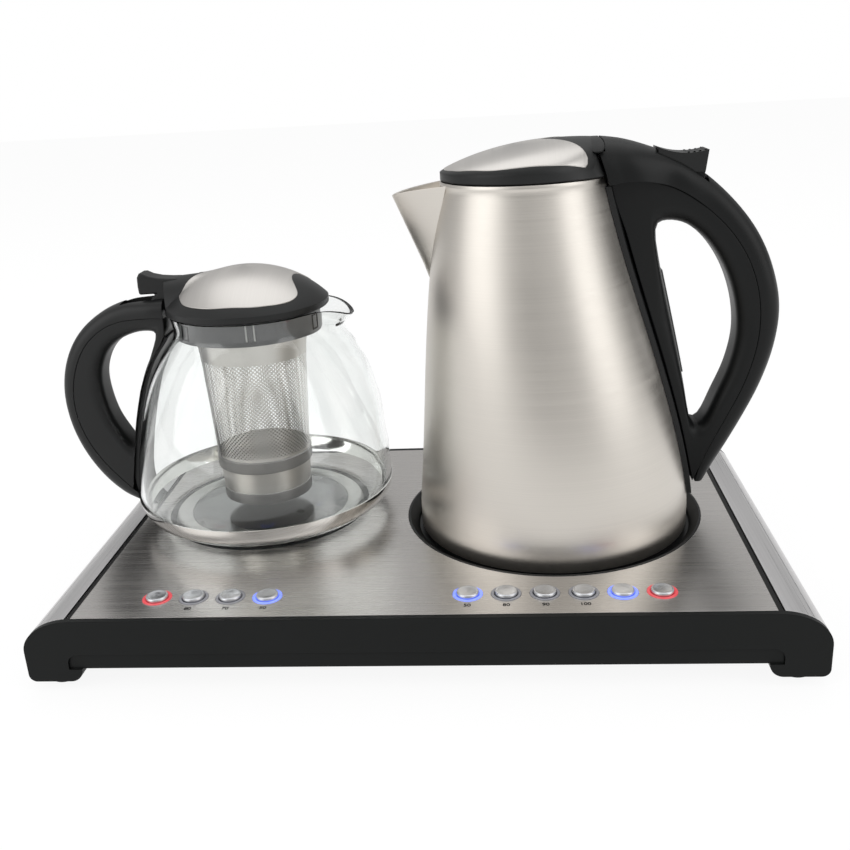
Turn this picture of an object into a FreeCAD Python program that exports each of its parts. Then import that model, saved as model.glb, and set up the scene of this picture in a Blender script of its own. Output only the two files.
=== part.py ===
import FreeCAD, Part
import math
import os

V = FreeCAD.Vector

# Millimetres. +Z up, -Y is the side with the buttons. The values below count
# from a point on the table under the middle of the base. What is saved is
# moved so that the origin lies under the middle of the whole outline.

# Base
PLATE_W = 342.0
PLATE_D = 219.0
PLATE_TOP = 39.0
SHEET_T = 0.8
DECK_T = 2.0
DECK_REACH = 2.9
GROOVE_W = 3.2
CORNER_RX = 25.0
CORNER_RZ = 17.0
CORNER_START = 0.4
STRIP_W = 13.6
STRIP_GAP = 0.3
RAIL_T = 2.4
FRAME_T = 3.3
FRAME_GAP = 0.2
FLANGE_T = 3.2
MIDDLE_Z = 11.8
LEG_Z = 5.0
LEG_W = 21.6
LEG_D = 28.0
LEG_CORNER = 4.0
BAND_TOP_Z = 20.0
BAND_DEPTH = 1.2
BAND_CORNER = 5.0
COVER_T = 2.0
FOOT_R = 8.0
FOOT_SOCKET = 1.5
FOOT_GAP = 0.2
BOSS_R = 4.5
SCREW_R = 1.45
SCREW_HEAD_R = 2.9
SCREW_GAP = 0.05
SCREW_X = 155.0
SCREW_Y = 92.0
MIDDLE_SCREW_X = -24.0
GLAND_X = -60.0
GLAND_Z = 24.5
GLAND_R = 6.0
GLAND_FLANGE_R = 9.0
GLAND_BORE_R = 3.6
GLAND_FLANGE_T = 2.5

# Between curved pieces that are fixed to each other
FIT_GAP = 0.35

# Buttons
BUTTON_R = 5.6
BUTTON_TOP = 2.0
BUTTON_BOTTOM = -4.0
BUTTON_STEM_R = 1.6
BUTTON_TRAVEL = 1.2
BUTTON_CHAMFER = 0.6
RING_R = 7.45
RING_HOLE_GAP = 0.15
RING_BORE_GAP = 0.5
RING_TOP = 0.25
RING_DROP = 6.0
BUTTON_PITCH = 19.05
BUTTON_Y = -90.2
LEFT_FIRST_X = -133.0
RIGHT_FIRST_X = 25.4
LEFT_COUNT = 4
RIGHT_COUNT = 6
RED_RINGS = (0, 9)
BLUE_RINGS = (3, 4, 8)
SWITCH_H = 3.4
SWITCH_W = 6.0
SWITCH_TIP_H = 1.0
BOARD_T = 1.6
STEM_GAP = 0.1
POWER_DX = 42.0
POWER_DY = 62.0

# Kettle station
KX = 72.2
KY = 10.8
RECESS_R = 84.3
RECESS_GAP = 0.3
RECESS_DEPTH = 6.0
RECESS_FLOOR_T = 2.0
RECESS_SLOPE = 5.0
SOCKET_R = 25.6
SOCKET_TOP_R = 16.0
SOCKET_H = 8.0
SOCKET_GAP = 0.4

# Kettle
KETTLE_R = 76.4
KETTLE_RIM_R = 43.6
KETTLE_H = 190.0
KETTLE_STRAIGHT = 14.0
KETTLE_SHIFT = -13.3
KETTLE_BULGE = 2.6
KETTLE_WALL = 1.2
WALL_START = 3.0
SECTIONS = 8
BASE_SIT_GAP = 0.3
BASE_H = 12.0
BASE_WALL = 2.4
HEATER_T = 2.0
HEATER_GAP = 0.2
CONNECTOR_WALL = 6.0
SEAT_H = 9.0
SEAT_T = 3.2
SEAT_LIP = 2.0
SPOUT_REACH = 25.0
SPOUT_HALF_W = 18.5
SPOUT_DROP = 45.0
SPOUT_WALL = 1.1
SPOUT_ROOT = 12.0
FILTER_T = 0.6
FILTER_HOLE_R = 1.2
FILTER_PITCH = 5.0

# Kettle lid
LID_GAP = 1.0
LID_RIM_H = 5.5
DOME_X = 12.0
DOME_RX = KETTLE_RIM_R + 62.4
DOME_RY = KETTLE_RIM_R + 27.4
DOME_RZ = 60.0
DOME_TOP = 20.7
LID_SHELL = 2.6
INLAY_T = 0.8
INLAY_EDGE = 3.4
INLAY_REACH = 31.0
PLUG_R = KETTLE_RIM_R - 7.6
PLUG_H = 7.0
SEAL_R = PLUG_R + 1.4
SEAL_T = 2.0
HINGE_BACK = KETTLE_RIM_R - 6.7
HINGE_DROP = 3.8
PIN_R = 1.5
PIN_GAP = 0.05
KNUCKLE_R = 3.7
KNUCKLE_HALF = 10.0
EAR_HALF = 19.0
HINGE_GAP = 0.5
SEAM_LEAN = 0.304
SEAM_GAP = 0.5

# Kettle handle
GRIP_HALF = 13.0
GRIP_ROUND = 6.0
HANDLE_TOP_HALF = 25.0
HANDLE_STRETCH = KETTLE_H / 190.0
SPINE_T = 3.0
SPINE_HALF = 16.0
SPINE_BOTTOM = 20.0
SPINE_TOP_DROP = 2.0
WINDOW_HALF = 5.0
WINDOW_T = 1.6
RELEASE_W = 18.0
RELEASE_GAP = 0.5
RELEASE_TRAVEL = 2.5
RIB_R = 0.8
RIB_COUNT = 4

# Teapot station
GX = -98.0
GY = 21.9
GLASS_R = 75.0
GLASS_FOOT_R = GLASS_R - 21.0
BEZEL_R = GLASS_FOOT_R + 6.0
BEZEL_T = 3.7
BEZEL_TOP = 0.6
BEZEL_NECK = 2.0
BEZEL_LEDGE = 9.0
DISC_R = GLASS_FOOT_R - 7.0
WARM_TOP = 0.4
DISC_GAP = 0.3
HEATER_RING_R = 30.0
HEATER_TUBE_R = 3.0

# Teapot
POT_LIFT = 0.3
GLASS_NECK_R = 43.4
GLASS_RIM_R = 44.6
GLASS_H = 124.3
GLASS_WALL = 2.4
POT_SPOUT_REACH = 60.5
POT_SPOUT_HALF_W = 15.0
POT_SPOUT_RISE = 0.8
POT_SPOUT_DROP = 44.0
POT_SPOUT_LIP = 9.0
POT_SPOUT_LOW = 64.0
POT_SPOUT_NECK = 53.5
BAND_LOW = 9.0
BAND_HIGH = 18.0
BAND_T = 0.8
BAND_GAP = 0.3
STRAP_T = 3.4
STRAP_HALF = 9.0
STRAP_TOP_DROP = 14.8
POT_GRIP_HALF = 11.0
POT_HINGE_X = -52.0
POT_FRONT = -5.2 - POT_HINGE_X - GLASS_R
POT_LINE_DROP = 6.8
POT_HINGE_Z = 2.7
POT_KNUCKLE_R = 4.0
POT_KNUCKLE_HALF = 6.0
POT_TAB_HALF = 6.0
POT_TAB_REACH = 20.4
POT_SLOT_DROP = 7.0
LID_R = 45.9
LID_SIT = 1.8
LID_EDGE_H = 4.0
LID_DOME_R = 63.5
LID_DOME_TOP = 24.2
POT_INLAY_R = 39.5
POT_BITE_R = 20.0
POT_BITE_X = 46.0
POT_PLUG_R = 35.0
POT_PLUG_H = 5.0
COLLAR_WALL = 2.2
COLLAR_GAP = 0.6
COLLAR_H = 14.2
COLLAR_FLANGE_T = 1.2
BASKET_TOP_R = 31.0
BASKET_BOTTOM_R = 25.6
BASKET_BOTTOM_Z = 11.0
BASKET_T = 0.7
BASKET_RING_Z = 35.0
BASKET_RING_H = 4.0

HALF_W = PLATE_W / 2
HALF_D = PLATE_D / 2
CORNER_X = HALF_W + CORNER_START
CORNER_Z = PLATE_TOP - CORNER_RZ
OUT_X = CORNER_X + CORNER_RX
STRIP_IN = HALF_W + GROOVE_W
STRIP_OUT = STRIP_IN + STRIP_W
FRAME_IN = HALF_D + FRAME_GAP
FRAME_OUT = FRAME_IN + FRAME_T
DECK_TOP = PLATE_TOP - SHEET_T
DECK_LOW = DECK_TOP - DECK_T
COVER_TOP = MIDDLE_Z + COVER_T
RECESS_FLOOR = PLATE_TOP - RECESS_DEPTH
KETTLE_BOTTOM = RECESS_FLOOR + BASE_SIT_GAP
KETTLE_RIM_Z = KETTLE_BOTTOM + KETTLE_H + WALL_START
SEAT_TOP = KETTLE_RIM_Z + SEAT_LIP
LID_LOW = SEAT_TOP + LID_GAP
RIM_X = KX + KETTLE_SHIFT
DOME_Z = SEAT_TOP + DOME_TOP - DOME_RZ
HINGE_X = RIM_X + HINGE_BACK
HINGE_Z = SEAT_TOP + DOME_TOP - HINGE_DROP
POT_Z = PLATE_TOP + WARM_TOP + POT_LIFT
RIM_Z = POT_Z + GLASS_H
BOARD_Z = DECK_LOW - 12.0
POT_HANDLE_REACH = 40.8
MIDDLE_X = (OUT_X + GX - GLASS_R - POT_HANDLE_REACH) / 2
MIDDLE_Y = GLAND_FLANGE_T / 2


def box(x0, x1, y0, y1, z0, z1):
    return Part.makeBox(x1 - x0, y1 - y0, z1 - z0, V(x0, y0, z0))


def cyl(r, z0, z1, x=0.0, y=0.0):
    return Part.makeCylinder(r, z1 - z0, V(x, y, z0))


def tube(r_out, r_in, z0, z1, x=0.0, y=0.0):
    return cyl(r_out, z0, z1, x, y).cut(cyl(r_in, z0 - 1, z1 + 1, x, y))


def rod(r, y0, y1, x, z):
    return Part.makeCylinder(r, y1 - y0, V(x, y0, z), V(0, 1, 0))


def fuse(shapes):
    whole = shapes[0]
    for shape in shapes[1:]:
        whole = whole.fuse(shape)
    return whole.removeSplitter()


def cut(shape, tools):
    for tool in tools:
        shape = shape.cut(tool)
    return shape


def mirror_x(shape):
    return shape.mirror(V(0, 0, 0), V(1, 0, 0))


def mirror_y(shape):
    return shape.mirror(V(0, 0, 0), V(0, 1, 0))


def wall_face(points, y):
    """A straight-sided outline standing in the XZ plane at depth y."""
    corners = [V(x, y, z) for x, z in points]
    return Part.Face(Part.makePolygon(corners + corners[:1]))


def plate_of(points, y0, y1):
    return wall_face(points, y0).extrude(V(0, y1 - y0, 0))


def smooth(points, y):
    """One smooth edge through points (x, z) at depth y."""
    curve = Part.BSplineCurve()
    curve.interpolate([V(x, y, z) for x, z in points])
    return curve.toShape()


def line(a, b, y):
    return Part.makeLine(V(a[0], y, a[1]), V(b[0], y, b[1]))


def turned(points, x, y):
    """A straight-sided outline of (radius, height) turned about a vertical axis."""
    corners = [V(r, 0, z) for r, z in points]
    face = Part.Face(Part.makePolygon(corners + corners[:1]))
    solid = face.revolve(V(0, 0, 0), V(0, 0, 1), 360)
    solid.translate(V(x, y, 0))
    return solid


def ellipsoid(rx, ry, rz, x, y, z):
    grow = FreeCAD.Matrix()
    grow.scale(rx, ry, rz)
    ball = Part.makeSphere(1.0).transformGeometry(grow)
    ball.translate(V(x, y, z))
    return ball


# Base outline


def corner_region(inset, y0, y1):
    """The right end of the base: a quarter ellipse over an upright wall."""
    rx = CORNER_RX - inset
    rz = CORNER_RZ - inset
    centre = V(CORNER_X, y0, CORNER_Z)
    curve = Part.Ellipse(centre + V(rx, 0, 0), centre + V(0, 0, rz), centre)
    disc = Part.Face(Part.Wire([curve.toShape()])).extrude(V(0, y1 - y0, 0))
    top = disc.common(box(CORNER_X, OUT_X, y0, y1, CORNER_Z, PLATE_TOP))
    wall = box(CORNER_X, CORNER_X + rx, y0, y1, MIDDLE_Z, CORNER_Z)
    return top.fuse(wall).removeSplitter()


def leg(y0, y1):
    """The right leg, rounded where it meets the middle of the frame."""
    inner = OUT_X - LEG_W
    round_r = MIDDLE_Z - LEG_Z
    foot = box(inner, OUT_X, y0, y1, LEG_Z, MIDDLE_Z)
    bulge = rod(round_r, y0, y1, inner, MIDDLE_Z)
    bulge = bulge.common(box(inner - round_r, inner, y0, y1, LEG_Z, MIDDLE_Z))
    corner = box(OUT_X - LEG_CORNER, OUT_X, y0, y1, LEG_Z, LEG_Z + LEG_CORNER)
    keep = rod(LEG_CORNER, y0, y1, OUT_X - LEG_CORNER, LEG_Z + LEG_CORNER)
    return foot.fuse(bulge).cut(corner.cut(keep)).removeSplitter()


def foot_places():
    x = OUT_X - LEG_W / 2 - 2.0
    y = FRAME_OUT - LEG_D / 2
    return [(sx * x, sy * y) for sx in (-1, 1) for sy in (-1, 1)]


def end_frame():
    """The frame at the back: an end wall, a flange inside it and two legs."""
    wall = box(-CORNER_X, CORNER_X, FRAME_IN, FRAME_OUT, MIDDLE_Z, PLATE_TOP)
    side = corner_region(0.0, FRAME_IN, FRAME_OUT)
    flange_x = OUT_X - RAIL_T - 12.0
    flange = box(-flange_x, flange_x, FRAME_IN - FLANGE_T, FRAME_IN,
                 COVER_TOP, DECK_LOW - 4.0)
    one_leg = leg(FRAME_OUT - LEG_D, FRAME_OUT)
    body = fuse([wall, side, mirror_x(side), flange, one_leg, mirror_x(one_leg)])
    sockets = [cyl(FOOT_R + FOOT_GAP, LEG_Z - 1, LEG_Z + FOOT_SOCKET, x, y)
               for x, y in foot_places() if y > 0]
    return cut(body, sockets)


def rear_frame():
    hole = rod(GLAND_R + FRAME_GAP, FRAME_IN - FLANGE_T - 1, FRAME_OUT + 1, GLAND_X, GLAND_Z)
    return end_frame().cut(hole)


def front_frame():
    """The front frame, with a shallow band along its lower edge."""
    body = mirror_y(end_frame())
    half = OUT_X - LEG_W
    band = box(-half, half, -FRAME_OUT - 1, -FRAME_OUT + BAND_DEPTH, LEG_Z, BAND_TOP_Z)
    corners = [e for e in band.Edges
               if abs(e.CenterOfMass.z - BAND_TOP_Z) < 0.01 and abs(abs(e.CenterOfMass.x) - half) < 0.01]
    band = band.makeFillet(BAND_CORNER, corners)
    band = band.common(box(-half, half, -FRAME_OUT - 2, -FRAME_IN, MIDDLE_Z, BAND_TOP_Z))
    return body.cut(band)


def rubber_feet():
    feet = [cyl(FOOT_R, 0, LEG_Z + FOOT_SOCKET - FOOT_GAP, x, y) for x, y in foot_places()]
    rounded = []
    for foot in feet:
        low = [e for e in foot.Edges if e.CenterOfMass.z < 0.01 and e.Length > 1.0]
        rounded.append(foot.makeFillet(1.0, low))
    return Part.makeCompound(rounded)


def cable_inlet():
    """The bush in the rear frame that a mains lead would leave through."""
    end = FRAME_OUT + GLAND_FLANGE_T
    barrel = rod(GLAND_R, FRAME_IN - FLANGE_T, end, GLAND_X, GLAND_Z)
    flange = rod(GLAND_FLANGE_R, FRAME_OUT, end, GLAND_X, GLAND_Z)
    bore = rod(GLAND_BORE_R, FRAME_IN - FLANGE_T - 1, end + 1, GLAND_X, GLAND_Z)
    return fuse([barrel, flange]).cut(bore)


def side_strip():
    y = FRAME_IN - FRAME_GAP
    sheet = corner_region(0.0, -y, y).cut(corner_region(SHEET_T, -y - 1, y + 1))
    return sheet.common(box(STRIP_IN, STRIP_OUT, -y, y, CORNER_Z, PLATE_TOP + 1))


def side_rail():
    y = FRAME_IN - FRAME_GAP
    outer = corner_region(0.0, -y, y)
    outer = outer.common(box(STRIP_OUT + STRIP_GAP, OUT_X + 1, -y, y, 0, PLATE_TOP))
    under = corner_region(SHEET_T + 0.05, -y, y)
    inner = corner_region(SHEET_T + RAIL_T, -y - 1, y + 1)
    hollow = inner.fuse(box(CORNER_X - 1, OUT_X - SHEET_T - RAIL_T, -y - 1, y + 1, 0, CORNER_Z))
    shell = fuse([outer, under]).cut(hollow)
    return shell.common(box(STRIP_IN + 0.2, OUT_X + 1, -y, y, 0, PLATE_TOP))


def button_places():
    left = [(LEFT_FIRST_X + i * BUTTON_PITCH, BUTTON_Y) for i in range(LEFT_COUNT)]
    right = [(RIGHT_FIRST_X + i * BUTTON_PITCH, BUTTON_Y) for i in range(RIGHT_COUNT)]
    return left + right


def screw_places():
    corners = [(sx * SCREW_X, sy * SCREW_Y) for sx in (-1, 1) for sy in (-1, 1)]
    return corners + [(MIDDLE_SCREW_X, SCREW_Y), (MIDDLE_SCREW_X, -SCREW_Y + 27)]


def top_holes(grow):
    """Everything that is cut through the plate and the deck."""
    low = DECK_LOW - 1
    high = PLATE_TOP + 1
    holes = [cyl(RECESS_R + RECESS_GAP, low, high, KX, KY)]
    holes.append(cyl(BEZEL_R - BEZEL_NECK + grow, low, high, GX, GY))
    for x, y in button_places():
        holes.append(cyl(RING_R + grow, low, high, x, y))
    return holes


def top_plate():
    """The brushed sheet, turned down along its front and back edges."""
    sheet = box(-HALF_W, HALF_W, -HALF_D, HALF_D, DECK_TOP, PLATE_TOP)
    lip = box(-HALF_W, HALF_W, HALF_D - SHEET_T, HALF_D, DECK_LOW, DECK_TOP)
    return cut(fuse([sheet, lip, mirror_y(lip)]), top_holes(RING_HOLE_GAP))


def deck_pillars():
    return [cyl(BOSS_R - 0.5, COVER_TOP + BOSS_R * 3, DECK_LOW, x, y) for x, y in screw_places()]


def top_deck():
    x = HALF_W + DECK_REACH
    y = HALF_D - SHEET_T - 0.1
    deck = box(-x, x, -y, y, DECK_LOW, DECK_TOP)
    deck = cut(fuse([deck] + deck_pillars()), top_holes(RING_HOLE_GAP))
    pilots = [cyl(SCREW_R + SCREW_GAP, MIDDLE_Z, DECK_LOW - 0.5, x, y) for x, y in screw_places()]
    return cut(deck, pilots)


def board_posts():
    first = LEFT_FIRST_X - BUTTON_PITCH / 2
    last = RIGHT_FIRST_X + (RIGHT_COUNT - 0.5) * BUTTON_PITCH
    return [(first, BUTTON_Y), (last, BUTTON_Y), ((first + last) / 2 - 10, BUTTON_Y)]


def power_posts():
    return [(GX + sx * 20 + POWER_DX, GY + sy * 14 + POWER_DY) for sx in (-1, 1) for sy in (-1, 1)]


def bottom_cover():
    """The floor with its screw towers and the posts that carry the boards."""
    x = OUT_X - RAIL_T - SHEET_T - 0.3
    y = FRAME_IN - 0.2
    floor = box(-x, x, -y, y, MIDDLE_Z, COVER_TOP)
    shelf_top = COVER_TOP + BOSS_R * 3
    towers = [cyl(BOSS_R, MIDDLE_Z, shelf_top, px, py) for px, py in screw_places()]
    posts = [cyl(2.6, MIDDLE_Z, BOARD_Z, px, py) for px, py in board_posts()]
    posts += [cyl(2.6, MIDDLE_Z, COVER_TOP + 4, px, py) for px, py in power_posts()]
    centre = tube(SOCKET_R + 6.0, SOCKET_R + 3.5, MIDDLE_Z, RECESS_FLOOR - RECESS_FLOOR_T - 2.3, KX, KY)
    body = fuse([floor] + towers + posts + [centre])
    wells = [cyl(SCREW_HEAD_R + 0.3, MIDDLE_Z - 1, shelf_top - 3, px, py) for px, py in screw_places()]
    holes = [cyl(SCREW_R + 0.4, MIDDLE_Z, shelf_top + 1, px, py) for px, py in screw_places()]
    vents = [box(-150 + 14 * i, -144 + 14 * i, 40, 80, 0, COVER_TOP + 1) for i in range(5)]
    return cut(body, wells + holes + vents)


def base_screws():
    shelf_top = COVER_TOP + BOSS_R * 3
    screws = []
    for x, y in screw_places():
        head = cyl(SCREW_HEAD_R, shelf_top - 5.2, shelf_top - 3, x, y)
        slot = box(x - 2, x + 2, y - 0.4, y + 0.4, shelf_top - 5.3, shelf_top - 4.6)
        shaft = cyl(SCREW_R, shelf_top - 3, DECK_LOW - 2, x, y)
        screws.append(fuse([head, shaft]).cut(slot))
    return Part.makeCompound(screws)


# Station rings and boards


def recess_ring():
    """The dark dish that the kettle stands in."""
    low = RECESS_FLOOR - RECESS_FLOOR_T
    slope_r = RECESS_R - 1.0 - RECESS_SLOPE
    points = [(SOCKET_R + SOCKET_GAP, low), (SOCKET_R + SOCKET_GAP, RECESS_FLOOR),
              (slope_r, RECESS_FLOOR), (slope_r, RECESS_FLOOR + 1.5),
              (RECESS_R - 1.0, PLATE_TOP + 0.3), (RECESS_R, PLATE_TOP + 0.3),
              (RECESS_R, PLATE_TOP - 3.0), (slope_r + 2.0, low)]
    return turned(points, KX, KY)


def socket_body():
    """The round connector that the kettle is set down over, from any side."""
    low = RECESS_FLOOR - RECESS_FLOOR_T
    points = [(0, low - 2.2), (SOCKET_R + 6.0, low - 2.2), (SOCKET_R + 6.0, low - 0.1),
              (SOCKET_R, low - 0.1), (SOCKET_R, RECESS_FLOOR + 0.6),
              (SOCKET_TOP_R, RECESS_FLOOR + 1.4), (SOCKET_TOP_R, RECESS_FLOOR + SOCKET_H - 1),
              (SOCKET_TOP_R - 1, RECESS_FLOOR + SOCKET_H),
              (0, RECESS_FLOOR + SOCKET_H)]
    body = turned(points, KX, KY)
    grooves = [tube(r + 1.4, r, RECESS_FLOOR, RECESS_FLOOR + SOCKET_H + 1, KX, KY) for r in (5.0, 10.0)]
    return cut(body, grooves)


def warming_bezel():
    """The black ring on the plate, with a ledge inside for the ring and disc."""
    top = PLATE_TOP + BEZEL_TOP
    inner = BEZEL_R - BEZEL_T
    ledge = inner - BEZEL_LEDGE - 2.0
    points = [(inner, top), (BEZEL_R - 0.5, top), (BEZEL_R, PLATE_TOP), (BEZEL_R - BEZEL_NECK, PLATE_TOP),
              (BEZEL_R - BEZEL_NECK, DECK_LOW - 1.0), (ledge, DECK_LOW - 1.0), (ledge, DECK_LOW + 0.6),
              (inner, DECK_LOW + 0.6)]
    return turned(points, GX, GY)


def warming_ring():
    top = PLATE_TOP + WARM_TOP
    return tube(BEZEL_R - BEZEL_T - DISC_GAP, DISC_R + DISC_GAP, DECK_LOW + 0.6, top, GX, GY)


def warming_disc():
    top = PLATE_TOP + WARM_TOP
    return cyl(DISC_R, DECK_LOW + 0.6, top, GX, GY)


def warming_heater():
    low = DECK_LOW + 0.5 - 2 * HEATER_TUBE_R
    loop = Part.makeTorus(HEATER_RING_R, HEATER_TUBE_R, V(GX, GY, low + HEATER_TUBE_R))
    tails = [cyl(HEATER_TUBE_R - 0.6, low - 6, low + 2, GX - HEATER_RING_R, GY + s * 6) for s in (-1, 1)]
    return fuse([loop] + tails)


def light_rings(wanted):
    """The lit collars round the chosen buttons."""
    rings = []
    for i in wanted:
        x, y = button_places()[i]
        rings.append(tube(RING_R, BUTTON_R + RING_BORE_GAP, DECK_TOP - RING_DROP,
                          PLATE_TOP + RING_TOP, x, y))
    return Part.makeCompound(rings)


def button(i):
    """A cap on a stem that ends just above its switch."""
    x, y = button_places()[i]
    top = PLATE_TOP + BUTTON_TOP
    cap = cyl(BUTTON_R, PLATE_TOP + BUTTON_BOTTOM, top, x, y)
    rim = [e for e in cap.Edges if abs(e.CenterOfMass.z - top) < 0.01 and e.Length > 1.0]
    cap = cap.makeChamfer(BUTTON_CHAMFER, rim)
    tip = BOARD_Z + BOARD_T + SWITCH_H + SWITCH_TIP_H + STEM_GAP + BUTTON_TRAVEL
    return fuse([cap, cyl(BUTTON_STEM_R, tip, PLATE_TOP + BUTTON_BOTTOM, x, y)])


def tact_switches():
    """One switch under each button, its tip just below the pressed stem."""
    low = BOARD_Z + BOARD_T
    half = SWITCH_W / 2
    switches = []
    for x, y in button_places():
        case = box(x - half, x + half, y - half, y + half, low, low + SWITCH_H)
        tip = cyl(1.7, low + SWITCH_H, low + SWITCH_H + SWITCH_TIP_H, x, y)
        switches.append(fuse([case, tip]))
    return Part.makeCompound(switches)


def control_board():
    first = LEFT_FIRST_X - BUTTON_PITCH / 2 - 5
    last = RIGHT_FIRST_X + (RIGHT_COUNT - 0.5) * BUTTON_PITCH + 5
    board = box(first, last, BUTTON_Y - 9, BUTTON_Y + 9, BOARD_Z, BOARD_Z + BOARD_T)
    chip = box(-40, -24, BUTTON_Y - 6, BUTTON_Y + 6, BOARD_Z + BOARD_T, BOARD_Z + BOARD_T + 2)
    return fuse([board, chip])


def power_board():
    """Board with a relay, a transformer and two capacitors."""
    low = COVER_TOP + 4
    x, y = GX + POWER_DX, GY + POWER_DY
    board = box(x - 25, x + 25, y - 18, y + 18, low, low + BOARD_T)
    parts = [box(x - 20, x - 4, y - 8, y + 10, low + BOARD_T, low + 15),
             box(x + 2, x + 20, y - 2, y + 12, low + BOARD_T, low + 13),
             cyl(4, low + BOARD_T, low + 14, x + 6, y - 10), cyl(4, low + BOARD_T, low + 14, x + 17, y - 10)]
    return fuse([board] + parts)


# Kettle


def kettle_share(z):
    """How far up the sloping part of the body a height lies, from 0 to 1."""
    start = KETTLE_BOTTOM + KETTLE_STRAIGHT
    return min(1.0, max(0.0, (z - start) / (KETTLE_RIM_Z - start)))


def kettle_radius(z):
    t = kettle_share(z)
    return KETTLE_R + (KETTLE_RIM_R - KETTLE_R) * t + KETTLE_BULGE * math.sin(math.pi * t ** 0.75)


def kettle_centre(z):
    t = kettle_share(z)
    return KX + KETTLE_SHIFT * (3 * t * t - 2 * t ** 3)


def kettle_side(z):
    return kettle_centre(z) + kettle_radius(z)


def kettle_form(grow):
    """The outside of the body, grown by a few millimetres or shrunk."""
    foot = KETTLE_BOTTOM + WALL_START
    bend = KETTLE_BOTTOM + KETTLE_STRAIGHT
    rings = []
    for i in range(SECTIONS):
        z = bend + (KETTLE_RIM_Z - bend) * i / (SECTIONS - 1)
        circle = Part.Circle(V(kettle_centre(z), KY, z), V(0, 0, 1), kettle_radius(z) + grow)
        rings.append(Part.Wire([circle.toShape()]))
    tapered = Part.makeLoft(rings, True, False)
    return fuse([cyl(KETTLE_R + grow, foot, bend, KX, KY), tapered])


def spout_form(inset, back, straight=False):
    """A beak: its plan is a V, rounded or straight-sided, that shrinks downwards."""
    top_z = KETTLE_RIM_Z - 0.5
    wires = []
    for z, size in ((top_z - SPOUT_DROP, 0.08), (top_z, 1.0)):
        root = kettle_centre(z) - kettle_radius(z) + back
        tip = root - back - SPOUT_REACH * size + inset * 1.6
        half = SPOUT_HALF_W * (0.15 + 0.85 * size) - inset
        waist = root - 0.55 * (root - tip)
        points = [V(root, KY - half, z), V(waist, KY - 0.62 * half, z), V(tip, KY, z),
                  V(waist, KY + 0.62 * half, z), V(root, KY + half, z)]
        if straight:
            wires.append(Part.makePolygon(points + points[:1]))
            continue
        curve = Part.BSplineCurve()
        curve.interpolate(points)
        chord = Part.makeLine(points[-1], points[0])
        wires.append(Part.Wire([curve.toShape(), chord]))
    return Part.makeLoft(wires, True, True)


def kettle_body(form, hollow):
    passage = spout_form(SPOUT_WALL + 0.9, SPOUT_ROOT, True)
    return form.cut(hollow).cut(passage)


def kettle_spout(form):
    outer = spout_form(0.0, SPOUT_ROOT)
    inner = spout_form(SPOUT_WALL, SPOUT_ROOT)
    inner_up = inner.copy()
    inner_up.translate(V(0, 0, 0.6))
    shell = cut(outer, [inner, inner_up, form])
    return max(shell.Solids, key=lambda s: s.Volume)


def kettle_seat_ring():
    """The black ring in the top of the body that the lid closes on."""
    inner = KETTLE_RIM_R - KETTLE_WALL - SEAT_T
    low = KETTLE_RIM_Z - SEAT_H
    outer = KETTLE_RIM_R - KETTLE_WALL - FIT_GAP
    points = [(inner, low), (inner, SEAT_TOP), (KETTLE_RIM_R, SEAT_TOP), (KETTLE_RIM_R, KETTLE_RIM_Z + 0.1),
              (outer, KETTLE_RIM_Z + 0.1), (outer, low)]
    ring = turned(points, RIM_X, KY)
    gate = box(RIM_X - KETTLE_RIM_R - 2, RIM_X - 20, KY - SPOUT_HALF_W + 2, KY + SPOUT_HALF_W - 2,
               low - 1, KETTLE_RIM_Z + 0.1)
    return ring.cut(gate)


def spout_filter():
    """A perforated plate across the way to the spout."""
    z1 = KETTLE_RIM_Z - SEAT_H - 0.3
    z0 = z1 - 30
    half = SPOUT_HALF_W + 1
    x = RIM_X - math.sqrt((KETTLE_RIM_R - KETTLE_WALL - 0.3) ** 2 - half ** 2) + 1.0
    plate = box(x, x + FILTER_T, KY - half, KY + half, z0, z1)
    holes = []
    for i in range(5):
        for j in range(5):
            y = KY + (i - 2) * FILTER_PITCH
            z = (z0 + z1) / 2 + (j - 2) * FILTER_PITCH
            holes.append(Part.makeCylinder(FILTER_HOLE_R, FILTER_T + 2, V(x - 1, y, z), V(1, 0, 0)))
    return cut(plate, holes)


def kettle_base():
    """The plastic foot: a flat ring to stand on, a wall inside the steel, and a roof."""
    r = KETTLE_R - KETTLE_WALL - HEATER_GAP
    low = KETTLE_BOTTOM
    inner = SOCKET_R + SOCKET_GAP + 2.0
    top = low + BASE_H
    points = [(inner, low), (r, low), (r, top), (r - BASE_WALL, top), (r - BASE_WALL, low + BASE_WALL),
              (inner + BASE_WALL, low + BASE_WALL), (inner + BASE_WALL, top), (inner, top)]
    return turned(points, KX, KY)


def kettle_heater_plate():
    z = KETTLE_BOTTOM + BASE_H + HEATER_GAP
    disc = cyl(KETTLE_R - KETTLE_WALL - 0.1, z, z + HEATER_T, KX, KY)
    return disc


def kettle_connector():
    """The kettle's half of the connector, open below to take the socket."""
    low = KETTLE_BOTTOM + 2.6
    top = KETTLE_BOTTOM + BASE_H
    r = SOCKET_R + SOCKET_GAP + 1.7
    roof = RECESS_FLOOR + SOCKET_H + 0.5
    hollow = SOCKET_TOP_R + 1.0
    points = [(0, roof), (hollow, roof), (hollow, low), (r, low), (r, top), (0, top)]
    return turned(points, KX, KY)


def seam_x(z, gap=0.0):
    """Where the back of the lid and the front of the handle meet."""
    return HINGE_X + (HINGE_Z - z) * SEAM_LEAN + gap


def lid_dome(grow):
    return ellipsoid(DOME_RX + grow, DOME_RY + grow, DOME_RZ + grow, KX + DOME_X, KY, DOME_Z)


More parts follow.
